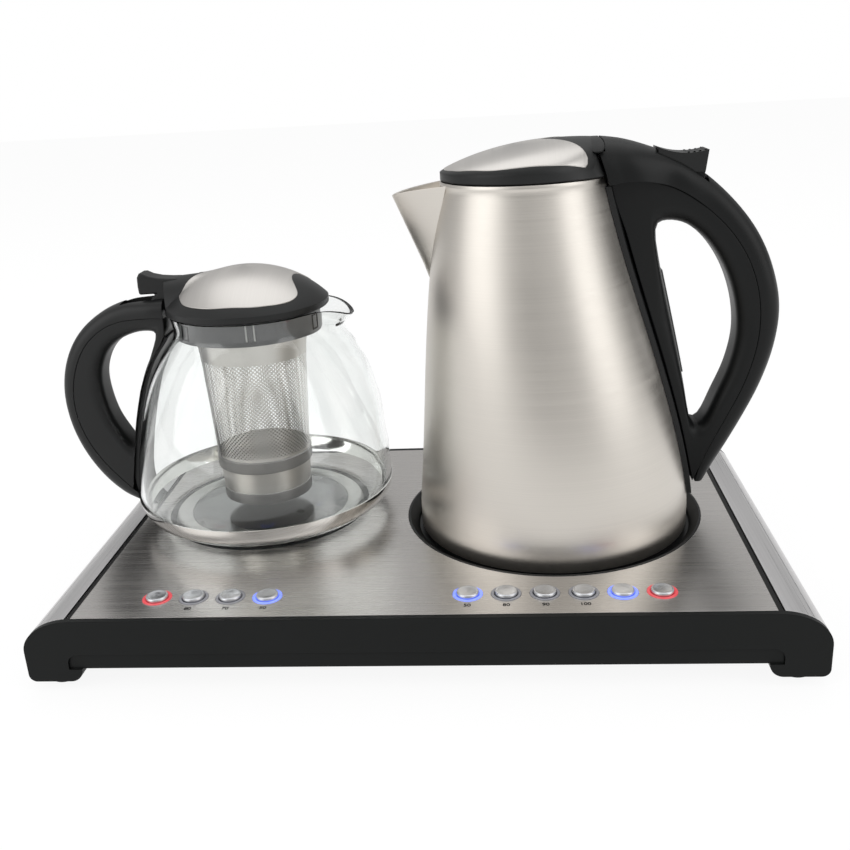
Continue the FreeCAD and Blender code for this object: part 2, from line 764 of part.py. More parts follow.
def ahead_of_seam(gap):
    """Everything on the lid's side of the seam."""
    low = LID_LOW - 30
    high = HINGE_Z + 30
    points = [(KX - 200, low), (seam_x(low, gap), low), (seam_x(high, gap), high), (KX - 200, high)]
    return plate_of(points, KY - 60, KY + 60)


def kettle_lid_cap():
    """The black lid moulding, hollow below, with its hinge knuckle."""
    column = cyl(KETTLE_RIM_R - 0.4, LID_LOW, SEAT_TOP + 30, RIM_X, KY)
    solid = column.common(lid_dome(0.0)).common(ahead_of_seam(-SEAM_GAP))
    core = cyl(KETTLE_RIM_R - 0.4 - LID_SHELL, LID_LOW - 1, SEAT_TOP + 30, RIM_X, KY)
    core = core.common(lid_dome(-LID_SHELL)).common(ahead_of_seam(-SEAM_GAP - 6.0))
    inlay_room = inlay_form(INLAY_T)
    ear_room = [rod(KNUCKLE_R + 2 * HINGE_GAP, KY + a, KY + b, HINGE_X, HINGE_Z)
                for a, b in ((-60, -KNUCKLE_HALF - 0.2), (KNUCKLE_HALF + 0.2, 60))]
    knuckle = rod(KNUCKLE_R, KY - KNUCKLE_HALF, KY + KNUCKLE_HALF, HINGE_X, HINGE_Z)
    neck = box(HINGE_X - 7, HINGE_X, KY - KNUCKLE_HALF, KY + KNUCKLE_HALF, HINGE_Z - KNUCKLE_R, HINGE_Z)
    cap = cut(solid, [core, inlay_room] + ear_room)
    cap = fuse([cap, knuckle, neck.common(ahead_of_seam(-SEAM_GAP))])
    cap = cap.common(box(KX - 200, KX + 200, KY - 60, KY + 60, LID_LOW, SEAT_TOP + DOME_TOP))
    cap = cap.cut(rod(PIN_R + PIN_GAP, KY - 60, KY + 60, HINGE_X, HINGE_Z))
    return max(cap.Solids, key=lambda s: s.Volume)


def inlay_form(depth):
    """The steel cover's place on the dome: round in front, forked at the back."""
    edge = KETTLE_RIM_R - 0.4 - INLAY_EDGE
    disc = cyl(edge, LID_LOW + LID_RIM_H, SEAT_TOP + 30, RIM_X, KY)
    back = box(RIM_X - 60, RIM_X + INLAY_REACH, KY - 60, KY + 60, LID_LOW, SEAT_TOP + 30)
    fork = Part.Face(Part.makePolygon([V(RIM_X + 9, KY, LID_LOW), V(RIM_X + 60, KY + 36, LID_LOW),
                                       V(RIM_X + 60, KY - 36, LID_LOW), V(RIM_X + 9, KY, LID_LOW)]))
    fork = fork.extrude(V(0, 0, 60))
    shell = lid_dome(1.0).cut(lid_dome(-depth))
    return shell.common(disc).common(back).cut(fork)


def kettle_lid_inlay():
    inlay = inlay_form(INLAY_T - 0.1).common(lid_dome(0.0))
    return max(inlay.Solids, key=lambda s: s.Volume)


def kettle_lid_liner():
    """The lid's floor and the plug that drops into the seat ring."""
    floor = cyl(KETTLE_RIM_R - 0.7 - LID_SHELL, LID_LOW, LID_LOW + 1.6, RIM_X, KY)
    floor = floor.common(ahead_of_seam(-SEAM_GAP - 6.2))
    plug = cyl(PLUG_R, LID_LOW - PLUG_H, LID_LOW, RIM_X, KY)
    bore = cyl(PLUG_R - 2.0, LID_LOW - PLUG_H + 1.6, LID_LOW + 0.1, RIM_X, KY)
    return fuse([floor, plug]).cut(bore)


def kettle_lid_seal():
    low = LID_LOW - PLUG_H + 2.2
    return tube(SEAL_R, PLUG_R + 0.15, low, low + SEAL_T, RIM_X, KY)


def kettle_hinge_pin():
    return rod(PIN_R, KY - EAR_HALF + 1, KY + EAR_HALF - 1, HINGE_X, HINGE_Z)


def handle_line(points):
    """Points given as reach from the body's side and drop below the lid's top."""
    top = SEAT_TOP + DOME_TOP
    line_points = []
    for reach, drop in points:
        z = top - drop * HANDLE_STRETCH
        line_points.append((kettle_side(z) + reach, z))
    return line_points


HANDLE_OUTER = [(-7.5, 0.3), (7.2, 2.7), (24.7, 7.2), (50.0, 20.7), (63.5, 46.0), (68.2, 78.0),
                (64.2, 107.0), (47.5, 139.5), (23.7, 170.0), (8.4, 190.5)]
HANDLE_SEAM = [(0.6, 24.3), (22.4, 24.0), (43.0, 35.3), (59.0, 73.0), (63.0, 100.0), (42.7, 143.5),
               (4.5, 190.7)]
HANDLE_LOOP_TOP = [(17.0, 49.5), (27.5, 46.0), (41.5, 53.0), (52.0, 81.0), (47.0, 117.0), (17.0, 157.5)]
HANDLE_LOOP_BACK = [(10.0, 157.0), (13.3, 122.0), (17.4, 62.0)]
RELEASE_TOP = [(25.0, 7.2), (36.0, 10.3), (50.5, 9.4)]


def handle_plan(z0, z1):
    """The handle from above: as wide as the lid in front, then the grip's width."""
    wide = HANDLE_TOP_HALF
    corner = [V(HINGE_X - 8, KY - wide, z0), V(HINGE_X + 8, KY - wide + 1, z0),
              V(HINGE_X + 34, KY - GRIP_HALF - 2, z0), V(HINGE_X + 60, KY - GRIP_HALF, z0)]
    near = Part.BSplineCurve()
    near.interpolate(corner)
    far = Part.BSplineCurve()
    far.interpolate([V(p.x, 2 * KY - p.y, p.z) for p in reversed(corner)])
    end_x = HINGE_X + 160
    edges = [near.toShape(), Part.makeLine(corner[-1], V(end_x, KY - GRIP_HALF, z0)),
             Part.makeLine(V(end_x, KY - GRIP_HALF, z0), V(end_x, KY + GRIP_HALF, z0)),
             Part.makeLine(V(end_x, KY + GRIP_HALF, z0), V(corner[-1].x, KY + GRIP_HALF, z0)),
             far.toShape(), Part.makeLine(V(corner[0].x, KY + wide, z0), corner[0])]
    return Part.Face(Part.Wire(edges)).extrude(V(0, 0, z1 - z0))


def kettle_handle_outer():
    """The upper and outer half of the handle, with ears for the lid's hinge."""
    top = SEAT_TOP + DOME_TOP
    y = KY - HANDLE_TOP_HALF
    front = HINGE_X - 6
    outer = [(front, top)] + handle_line(HANDLE_OUTER)[1:]
    seam = handle_line(HANDLE_SEAM)
    corner = (front, seam[0][1])
    wire = Part.Wire([smooth(outer, y), line(outer[-1], seam[-1], y), smooth(seam, y),
                      line(seam[0], corner, y), line(corner, outer[0], y)])
    shell = Part.Face(wire).extrude(V(0, 2 * HANDLE_TOP_HALF, 0))
    shell = shell.common(handle_plan(0, top + 20))
    column = cyl(KETTLE_RIM_R + FIT_GAP, KETTLE_RIM_Z - 20, SEAT_TOP + 0.1, RIM_X, KY)
    shell = cut(shell, [ahead_of_seam(0.0), kettle_form(FIT_GAP), column])
    ears = [rod(KNUCKLE_R, KY + a, KY + b, HINGE_X, HINGE_Z)
            for a, b in ((-EAR_HALF, -KNUCKLE_HALF - HINGE_GAP), (KNUCKLE_HALF + HINGE_GAP, EAR_HALF))]
    pocket = rod(KNUCKLE_R + HINGE_GAP, KY - KNUCKLE_HALF - HINGE_GAP, KY + KNUCKLE_HALF + HINGE_GAP,
                 HINGE_X, HINGE_Z)
    shell = fuse([shell] + ears).cut(pocket)
    shell = shell.cut(rod(PIN_R, KY - 60, KY + 60, HINGE_X, HINGE_Z))
    return max(cut(shell, [release_room()]).Solids, key=lambda s: s.Volume)


def release_outline():
    top = handle_line(RELEASE_TOP)
    low_z = top[-1][1] - 11.0
    return top, low_z


def release_room():
    top, low_z = release_outline()
    half = RELEASE_W / 2 + RELEASE_GAP
    return box(top[0][0] - RELEASE_GAP, top[-1][0] + RELEASE_GAP, KY - half, KY + half,
               low_z - RELEASE_TRAVEL - RELEASE_GAP, top[0][1] + 30)


def kettle_lid_button():
    """The lid release: a hollowed thumb piece that sinks into the handle."""
    top, low_z = release_outline()
    half = RELEASE_W / 2
    y = KY - half
    left = (top[0][0], low_z)
    right = (top[-1][0] - 1.5, low_z)
    wire = Part.Wire([smooth(top, y), line(top[-1], right, y), line(right, left, y), line(left, top[0], y)])
    body = Part.Face(wire).extrude(V(0, 2 * half, 0))
    curve = Part.BSplineCurve()
    curve.interpolate([V(x, y, z) for x, z in top])
    ribs = []
    for i in range(RIB_COUNT):
        spot = curve.value(curve.LastParameter * (0.95 - 0.11 * i))
        ribs.append(rod(RIB_R, y + 2, y + 2 * half - 2, spot.x, spot.z - RIB_R / 3))
    return fuse([body] + ribs)


def loop_hole():
    back = handle_line(HANDLE_LOOP_BACK)
    front = handle_line(HANDLE_LOOP_TOP)
    y = KY - 40
    wire = Part.Wire([smooth(front, y), line(front[-1], back[0], y),
                      smooth(back, y), line(back[-1], front[0], y)])
    return Part.Face(wire).extrude(V(0, 80, 0))


def kettle_handle_inner():
    """The inner half of the grip and the part that stands on the spine."""
    seam = handle_line([(reach - FIT_GAP, drop + FIT_GAP) for reach, drop in HANDLE_SEAM])
    y = KY - GRIP_HALF
    low = seam[-1]
    deep = 24.0
    start = (kettle_side(seam[0][1]) - deep, seam[0][1])
    end = (kettle_side(low[1]) - deep, low[1])
    wire = Part.Wire([line(start, seam[0], y), smooth(seam, y), line(low, end, y), line(end, start, y)])
    body = Part.Face(wire).extrude(V(0, 2 * GRIP_HALF, 0))
    grown = kettle_form(SPINE_T + FIT_GAP)
    column = cyl(KETTLE_RIM_R + SPINE_T + FIT_GAP, KETTLE_RIM_Z - 1, SEAT_TOP + 30, RIM_X, KY)
    body = cut(body, [loop_hole(), grown, column])
    return max(body.Solids, key=lambda s: s.Volume)


def kettle_spine():
    """The flange that follows the body's side under the handle."""
    low = KETTLE_BOTTOM + SPINE_BOTTOM
    keep = box(KX, KX + 200, KY - SPINE_HALF, KY + SPINE_HALF, low, KETTLE_RIM_Z - SPINE_TOP_DROP)
    shell = kettle_form(SPINE_T).cut(kettle_form(FIT_GAP))
    return max(shell.common(keep).Solids, key=lambda s: s.Volume)


def kettle_window():
    """The strip in the finger gap that shows the water level."""
    back = [(x + FIT_GAP, z) for x, z in handle_line(HANDLE_LOOP_BACK)]
    high = back[-1][1] - 3
    low = back[0][1] + 16
    outer = [(x + WINDOW_T, z) for x, z in back]
    y = KY - WINDOW_HALF
    wire = Part.Wire([smooth(back, y), line(back[-1], outer[-1], y),
                      smooth(outer, y), line(outer[0], back[0], y)])
    strip = Part.Face(wire).extrude(V(0, 2 * WINDOW_HALF, 0))
    return strip.common(box(KX, KX + 200, KY - 20, KY + 20, low, high))


# Teapot


def glass_points():
    """Radius and height of the jug's side, from its foot to its rim."""
    return [(GLASS_FOOT_R, 0.0), (GLASS_R - 8.6, 4.6), (GLASS_R - 1.6, 13.0), (GLASS_R, 22.0),
            (GLASS_R - 1.6, 38.0), (GLASS_R - 6.6, GLASS_H - 63.8), (GLASS_R - 13.4, GLASS_H - 41.8),
            (GLASS_NECK_R + 9.6, GLASS_H - 25.3), (GLASS_NECK_R, GLASS_H - 10.0), (GLASS_RIM_R, GLASS_H)]


def glass_solid(grow):
    """The jug's side grown outwards, or shrunk for its inside, as a full solid."""
    side = Part.BSplineCurve()
    side.interpolate([V(r, 0, POT_Z + z) for r, z in glass_points()])
    count = 40
    moved = []
    for i in range(count + 1):
        u = side.FirstParameter + (side.LastParameter - side.FirstParameter) * i / count
        point = side.value(u)
        along = side.tangent(u)[0]
        moved.append(point + V(along.z, 0, -along.x) * grow)
    curve = Part.BSplineCurve()
    curve.interpolate(moved)
    low, high = moved[0], moved[-1]
    top = high + V(0, 0, 3) if grow < 0 else high
    edges = [curve.toShape()]
    if grow < 0:
        edges.append(Part.makeLine(high, top))
    edges.append(Part.makeLine(top, V(0, 0, top.z)))
    edges.append(Part.makeLine(V(0, 0, top.z), V(0, 0, low.z)))
    edges.append(Part.makeLine(V(0, 0, low.z), low))
    solid = Part.Face(Part.Wire(edges)).revolve(V(0, 0, 0), V(0, 0, 1), 360)
    solid.translate(V(GX, GY, 0))
    return solid


def pot_spout(inset):
    """The pouring lip: a rounded V in plan that shrinks down the jug's side."""
    top_z = RIM_Z + POT_SPOUT_RISE
    wires = []
    for z, reach, half in ((top_z - POT_SPOUT_DROP, POT_SPOUT_LOW, 3.5),
                           (top_z - POT_SPOUT_LIP, POT_SPOUT_NECK, 0.86 * POT_SPOUT_HALF_W),
                           (top_z, POT_SPOUT_REACH, POT_SPOUT_HALF_W)):
        root = GX + 25.0
        tip = GX + reach - inset
        length = tip - root
        side = half - inset
        curve = Part.BSplineCurve()
        curve.interpolate([V(root, GY - side, z), V(root + 0.6 * length, GY - 0.9 * side, z), V(tip, GY, z),
                           V(root + 0.6 * length, GY + 0.9 * side, z), V(root, GY + side, z)])
        chord = Part.makeLine(V(root, GY + side, z), V(root, GY - side, z))
        wires.append(Part.Wire([curve.toShape(), chord]))
    return Part.makeLoft(wires, True, True)


def teapot_glass(outer, inner):
    rim_cut = cyl(LID_R + 1.0, RIM_Z, RIM_Z + 20, GX, GY)
    spout = pot_spout(0.0).cut(rim_cut)
    passage = pot_spout(GLASS_WALL * 0.8).common(box(GX, GX + 100, GY - 40, GY + 40, RIM_Z - 24, RIM_Z + 20))
    body = fuse([outer, spout]).cut(inner)
    return max(body.cut(passage).Solids, key=lambda s: s.Volume)


def teapot_band():
    shell = glass_solid(BAND_GAP + BAND_T).cut(glass_solid(BAND_GAP))
    keep = box(GX - 100, GX + 100, GY - 100, GY + 100, POT_Z + BAND_LOW, POT_Z + BAND_HIGH)
    return shell.common(keep)


def teapot_strap():
    """The black strap down the jug that carries the handle."""
    shell = glass_solid(BAND_GAP + BAND_T + STRAP_T).cut(glass_solid(BAND_GAP + BAND_T + FIT_GAP))
    keep = box(GX - 100, GX - 30, GY - STRAP_HALF, GY + STRAP_HALF,
               POT_Z + BAND_LOW - 4, RIM_Z - STRAP_TOP_DROP)
    return shell.common(keep)


def pot_line(points):
    """Points given as reach beyond the jug's widest side and drop below its neck."""
    return [(GX - GLASS_R - reach, RIM_Z - POT_LINE_DROP - drop) for reach, drop in points]


POT_OUTER = [(POT_FRONT, -13.0), (-4.0, -12.2), (12.5, -5.0), (26.0, 6.0), (36.0, 21.5),
             (POT_HANDLE_REACH, 49.0), (37.0, 67.5), (27.0, 88.0), (13.0, 103.5), (2.0, 110.0)]
POT_SEAM = [(POT_FRONT, 1.5), (-2.0, 0.5), (14.5, 5.0), (29.0, 22.0), (36.3, 49.0), (33.5, 67.0),
            (23.5, 87.0), (8.0, 105.0)]
POT_LOOP_TOP = [(-17.5, 9.0), (-6.0, 7.0), (5.5, 11.0), (17.0, 26.0), (19.5, 42.0), (15.0, 63.0), (4.5, 77.0)]
POT_LOOP_BACK = [(-0.5, 66.0), (-7.0, 38.0), (-17.5, 14.0)]


def pot_form(top_points, low_points):
    y = GY - POT_GRIP_HALF
    wire = Part.Wire([smooth(top_points, y), line(top_points[-1], low_points[-1], y), smooth(low_points, y),
                      line(low_points[0], top_points[0], y)])
    return Part.Face(wire).extrude(V(0, 2 * POT_GRIP_HALF, 0))


def tab_room():
    """The slot that the lid's thumb tab swings into."""
    x = GX + POT_HINGE_X
    z = RIM_Z + POT_HINGE_Z
    half = POT_TAB_HALF + 0.6
    sweep = rod(POT_TAB_REACH, GY - half, GY + half, x, z)
    keep = box(x - POT_TAB_REACH, x + 30, GY - half, GY + half, z - POT_SLOT_DROP, z + 40)
    return sweep.common(keep)


def lid_room():
    """What the closed and opening lid needs to be clear of."""
    return cyl(LID_R + 0.8, RIM_Z - STRAP_TOP_DROP + 2, RIM_Z + 60, GX, GY)


def teapot_handle_outer():
    shell = pot_form(pot_line(POT_OUTER), pot_line(POT_SEAM))
    x = GX + POT_HINGE_X
    z = RIM_Z + POT_HINGE_Z
    shell = cut(shell, [lid_room(), tab_room(), glass_solid(BAND_GAP + BAND_T + STRAP_T + FIT_GAP)])
    shell = shell.cut(rod(PIN_R, GY - 40, GY + 40, x, z))
    return max(shell.Solids, key=lambda s: s.Volume)


def teapot_handle_inner():
    seam = pot_line([(reach - FIT_GAP, drop + FIT_GAP) for reach, drop in POT_SEAM])
    y = GY - POT_GRIP_HALF
    low = (GX - 50, seam[-1][1])
    high = (GX - 40, seam[0][1])
    wire = Part.Wire([smooth(seam, y), line(seam[-1], low, y), line(low, high, y), line(high, seam[0], y)])
    body = Part.Face(wire).extrude(V(0, 2 * POT_GRIP_HALF, 0))
    back = pot_line(POT_LOOP_BACK)
    front = pot_line(POT_LOOP_TOP)
    y = GY - 40
    wire = Part.Wire([smooth(front, y), line(front[-1], back[0], y),
                      smooth(back, y), line(back[-1], front[0], y)])
    hole = Part.Face(wire).extrude(V(0, 80, 0))
    body = cut(body, [hole, glass_solid(BAND_GAP + BAND_T + STRAP_T + FIT_GAP), lid_room(), tab_room()])
    return max(body.Solids, key=lambda s: s.Volume)


def teapot_hinge_pin():
    half = POT_GRIP_HALF - 0.5
    return rod(PIN_R, GY - half, GY + half, GX + POT_HINGE_X, RIM_Z + POT_HINGE_Z)


def infuser_collar():
    """The ring in the jug's neck, hung from the rim by a flange."""
    r = GLASS_NECK_R - GLASS_WALL - COLLAR_GAP
    points = [(r - COLLAR_WALL, RIM_Z - COLLAR_H), (r, RIM_Z - COLLAR_H), (r, RIM_Z + 0.3),
              (GLASS_RIM_R - 1.0, RIM_Z + 0.3), (GLASS_RIM_R - 1.0, RIM_Z + 0.3 + COLLAR_FLANGE_T),
              (r - COLLAR_WALL, RIM_Z + 0.3 + COLLAR_FLANGE_T)]
    web = [(BASKET_TOP_R, RIM_Z - COLLAR_H), (r - 1.0, RIM_Z - COLLAR_H), (r - 1.0, RIM_Z - COLLAR_H + 1.2),
           (BASKET_TOP_R, RIM_Z - COLLAR_H + 1.2)]
    return fuse([turned(points, GX, GY), turned(web, GX, GY)])


def infuser_basket():
    """The steel basket: a tapered wall with a floor and a stiffening ring."""
    top = RIM_Z - COLLAR_H + 1.2
    low = POT_Z + BASKET_BOTTOM_Z
    ring_z = POT_Z + BASKET_RING_Z
    slope = (BASKET_TOP_R - BASKET_BOTTOM_R) / (top - low)
    ring_r = BASKET_BOTTOM_R + slope * (ring_z - low)
    ring_high_r = ring_r + slope * BASKET_RING_H
    points = [(0, low), (BASKET_BOTTOM_R - 0.1, low), (ring_r - 0.1, ring_z), (ring_r + 0.7, ring_z),
              (ring_high_r + 0.7, ring_z + BASKET_RING_H), (ring_high_r - 0.1, ring_z + BASKET_RING_H),
              (BASKET_TOP_R - 0.1, top), (BASKET_TOP_R - 0.1 - BASKET_T, top),
              (BASKET_BOTTOM_R - 0.1 - BASKET_T, low + BASKET_T), (0, low + BASKET_T)]
    return turned(points, GX, GY)


def pot_dome(inset):
    """The lid's outside: a low edge under a round dome."""
    low = RIM_Z + LID_SIT
    ball_z = RIM_Z + LID_DOME_TOP - LID_DOME_R
    ball = Part.makeSphere(LID_DOME_R - inset, V(GX, GY, ball_z))
    column = cyl(LID_R - inset, low, RIM_Z + 60, GX, GY)
    return column.common(ball)


def pot_inlay(depth, inset):
    """The steel cover's place on the lid: a disc with a round bite by the spout."""
    disc = cyl(POT_INLAY_R - inset, RIM_Z + LID_SIT + LID_EDGE_H, RIM_Z + 60, GX - 1, GY)
    bite = cyl(POT_BITE_R + inset, RIM_Z, RIM_Z + 60, GX + POT_BITE_X, GY)
    return pot_dome(-1.0).cut(pot_dome(depth)).common(disc).cut(bite)


def teapot_lid_shell():
    """The black lid moulding with its knuckle and thumb tab."""
    x = GX + POT_HINGE_X
    z = RIM_Z + POT_HINGE_Z
    core = pot_dome(LID_SHELL)
    core.translate(V(0, 0, -1))
    solid = pot_dome(0.0).cut(core).cut(pot_inlay(INLAY_T, 0.0))
    knuckle = rod(POT_KNUCKLE_R, GY - POT_KNUCKLE_HALF, GY + POT_KNUCKLE_HALF, x, z)
    tab = plate_of([(x - 9.9, z + 5.8), (x - 9.6, z + 15.8), (x - 8.0, z + 18.2), (x - 4.0, z + 17.2),
                    (x + 1.0, z + 15.8), (x + 6.0, z + 14.0), (x + 9.5, z + 11.0), (x + 11.3, z + 8.0),
                    (x + 11.3, z + 0.0), (x + 8.0, z + 0.0), (x, z - 3.6), (x - 3.6, z), (x - 2.0, z + 6.2)],
                   GY - POT_TAB_HALF, GY + POT_TAB_HALF)
    tab = cut(tab, [core, pot_inlay(INLAY_T, 0.0)])
    lid = fuse([solid, knuckle, tab]).cut(rod(PIN_R + PIN_GAP, GY - 60, GY + 60, x, z))
    return max(lid.Solids, key=lambda s: s.Volume)


def teapot_lid_inlay():
    inlay = pot_inlay(INLAY_T - 0.2, 0.2).common(pot_dome(0.0))
    return max(inlay.Solids, key=lambda s: s.Volume)


def teapot_lid_liner():
    low = RIM_Z + LID_SIT
    floor = cyl(LID_R - LID_SHELL - 0.9, low, low + 1.5, GX, GY)
    plug = tube(POT_PLUG_R, POT_PLUG_R - 1.8, low - POT_PLUG_H, low, GX, GY)
    return fuse([floor, plug])


def save(shape, name):
    shape.translate(V(-MIDDLE_X, -MIDDLE_Y, 0))
    shape.exportStep("parts/" + name + ".step")
    print(name, len(shape.Solids), round(shape.Volume / 1000.0, 2), "cm3", shape.isValid())


def main():
    os.makedirs("parts", exist_ok=True)
    form = kettle_form(0.0)
    hollow = kettle_form(-KETTLE_WALL)
    strip = side_strip()
    rail = side_rail()
    clear = [i for i in range(LEFT_COUNT + RIGHT_COUNT) if i not in RED_RINGS + BLUE_RINGS]
    pieces = {
        "front_frame": front_frame(), "rear_frame": rear_frame(), "bottom_cover": bottom_cover(),
        "top_deck": top_deck(), "top_plate": top_plate(),
        "side_strips": Part.makeCompound([strip, mirror_x(strip)]),
        "side_rails": Part.makeCompound([rail, mirror_x(rail)]),
        "rubber_feet": rubber_feet(), "base_screws": base_screws(), "cable_inlet": cable_inlet(),
        "recess_ring": recess_ring(), "socket_body": socket_body(),
        "warming_bezel": warming_bezel(), "warming_ring": warming_ring(),
        "warming_disc": warming_disc(), "warming_heater": warming_heater(),
        "light_rings_red": light_rings(RED_RINGS), "light_rings_blue": light_rings(BLUE_RINGS),
        "light_rings_clear": light_rings(clear),
        "tact_switches": tact_switches(), "control_board": control_board(), "power_board": power_board(),
        "kettle_body": kettle_body(form, hollow), "kettle_spout": kettle_spout(form),
        "kettle_spout_filter": spout_filter(), "kettle_seat_ring": kettle_seat_ring(),
        "kettle_base": kettle_base(), "kettle_heater_plate": kettle_heater_plate(),
        "kettle_connector": kettle_connector(), "kettle_spine": kettle_spine(),
        "kettle_handle_inner": kettle_handle_inner(), "kettle_handle_outer": kettle_handle_outer(),
        "kettle_window": kettle_window(), "kettle_hinge_pin": kettle_hinge_pin(),
        "kettle_lid_cap": kettle_lid_cap(), "kettle_lid_inlay": kettle_lid_inlay(),
        "kettle_lid_liner": kettle_lid_liner(), "kettle_lid_seal": kettle_lid_seal(),
        "kettle_lid_button": kettle_lid_button(),
        "teapot_glass": teapot_glass(glass_solid(0.0), glass_solid(-GLASS_WALL)),
        "teapot_band": teapot_band(), "teapot_strap": teapot_strap(),
        "teapot_handle_outer": teapot_handle_outer(), "teapot_handle_inner": teapot_handle_inner(),
        "teapot_hinge_pin": teapot_hinge_pin(), "infuser_collar": infuser_collar(),
        "infuser_basket": infuser_basket(), "teapot_lid_shell": teapot_lid_shell(),
        "teapot_lid_inlay": teapot_lid_inlay(), "teapot_lid_liner": teapot_lid_liner(),
    }
    for i in range(LEFT_COUNT):
        pieces["button_left_%d" % (i + 1)] = button(i)
    for i in range(RIGHT_COUNT):
        pieces["button_right_%d" % (i + 1)] = button(LEFT_COUNT + i)
    for name, shape in pieces.items():
        save(shape, name)


main()
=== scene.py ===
# %% [markdown]
# # A tea maker with two stations
# A low steel base carries a steel kettle on the right and a glass teapot on
# the left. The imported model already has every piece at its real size. This
# lesson gives the pieces their finishes and builds smoother ones where the
# eye lingers: the kettle, the handles, the glass and the lids.

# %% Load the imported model
import math

import bpy
from mathutils import Matrix, Vector


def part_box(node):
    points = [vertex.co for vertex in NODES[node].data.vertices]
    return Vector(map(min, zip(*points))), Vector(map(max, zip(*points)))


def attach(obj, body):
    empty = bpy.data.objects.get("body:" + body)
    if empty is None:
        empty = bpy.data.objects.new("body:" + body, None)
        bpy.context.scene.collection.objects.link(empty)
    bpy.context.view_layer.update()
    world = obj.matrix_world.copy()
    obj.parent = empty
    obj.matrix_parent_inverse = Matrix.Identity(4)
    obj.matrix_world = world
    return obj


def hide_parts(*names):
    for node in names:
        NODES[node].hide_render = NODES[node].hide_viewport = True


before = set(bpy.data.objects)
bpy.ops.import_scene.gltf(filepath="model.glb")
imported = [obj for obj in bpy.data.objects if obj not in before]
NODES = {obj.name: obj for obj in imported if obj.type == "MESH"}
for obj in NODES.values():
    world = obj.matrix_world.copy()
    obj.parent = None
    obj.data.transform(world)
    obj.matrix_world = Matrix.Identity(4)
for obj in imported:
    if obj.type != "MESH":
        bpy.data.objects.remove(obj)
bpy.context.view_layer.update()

# %% [markdown]
# All sizes below are millimetres, counted from a point on the table under the
# middle of the base. The steel plate is centred on that point, so its box
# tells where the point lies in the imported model.

# %% From millimetres to the model's frame
plate_low, plate_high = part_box("top_plate")
MIDDLE = Vector(((plate_low[0] + plate_high[0]) / 2, (plate_low[1] + plate_high[1]) / 2, 0.0))


def spot(x, y, z):
    return MIDDLE + Vector((x, y, z)) * 0.001


PLATE_TOP = 39.0
print("middle of the base:", tuple(round(v, 5) for v in MIDDLE))

# %% [markdown]
# The camera stands half a metre in front, a little above the lids, and looks
# down by about twenty degrees. It is tilted very slightly, as the picture is.

# %% The camera
camera_data = bpy.data.cameras.new("camera")
camera_data.sensor_width = 36.0
camera_data.lens = 41.8325
camera_data.clip_start = 0.01
camera = bpy.data.objects.new("camera", camera_data)
camera.location = spot(46.89, -523.67, 284.10)
camera.rotation_euler = [math.radians(a) for a in (70.3224, 3.0686, 3.9098)]
bpy.context.scene.collection.objects.link(camera)
bpy.context.scene.camera = camera
bpy.context.scene.view_settings.view_transform = "Standard"
print("camera at", [round(v, 3) for v in camera.location])

# %% [markdown]
# A material is a small network of nodes. Two helpers keep the networks
# short: one starts a material with its plain values set on the shader's own
# sockets, and one adds a node and fills in its inputs.

# %% Helpers for materials


def start_finish(name, colour, rough, metal=0.0, **values):
    material = bpy.data.materials.new(name)
    material.use_nodes = True
    shader = material.node_tree.nodes["Principled BSDF"]
    shader.inputs["Base Color"].default_value = (*colour, 1.0)
    shader.inputs["Roughness"].default_value = rough
    shader.inputs["Metallic"].default_value = metal
    for key, value in values.items():
        shader.inputs[key.replace("_", " ")].default_value = value
    return material, material.node_tree, shader


def add(tree, kind, inputs=None, **settings):
    node = tree.nodes.new("ShaderNode" + kind)
    for key, value in settings.items():
        setattr(node, key, value)
    for key, value in (inputs or {}).items():
        if isinstance(value, bpy.types.NodeSocket):
            tree.links.new(value, node.inputs[key])
        else:
            node.inputs[key].default_value = value
    return node


def ramp(tree, source, low, high, at=(0.35, 0.65)):
    """Turns a 0 to 1 value into a value or colour between low and high."""
    node = add(tree, "ValToRGB", {"Fac": source})
    for element, place, shade in zip(node.color_ramp.elements, at, (low, high)):
        element.position = place
        element.color = (*shade, 1.0) if isinstance(shade, tuple) else (shade, shade, shade, 1.0)
    return node.outputs["Color"]


def soft_edges(tree, radius):
    """A normal that rounds sharp edges in the shading."""
    return add(tree, "Bevel", {"Radius": radius}, samples=4).outputs["Normal"]


# %% [markdown]
# Brushed steel has fine scratches that all run one way. Noise that is
# stretched a few hundred times along one axis gives the same streaks. They
# change the roughness and the bump a little, and the anisotropic setting
# spreads the highlights across the scratches.

# %% Brushed steel


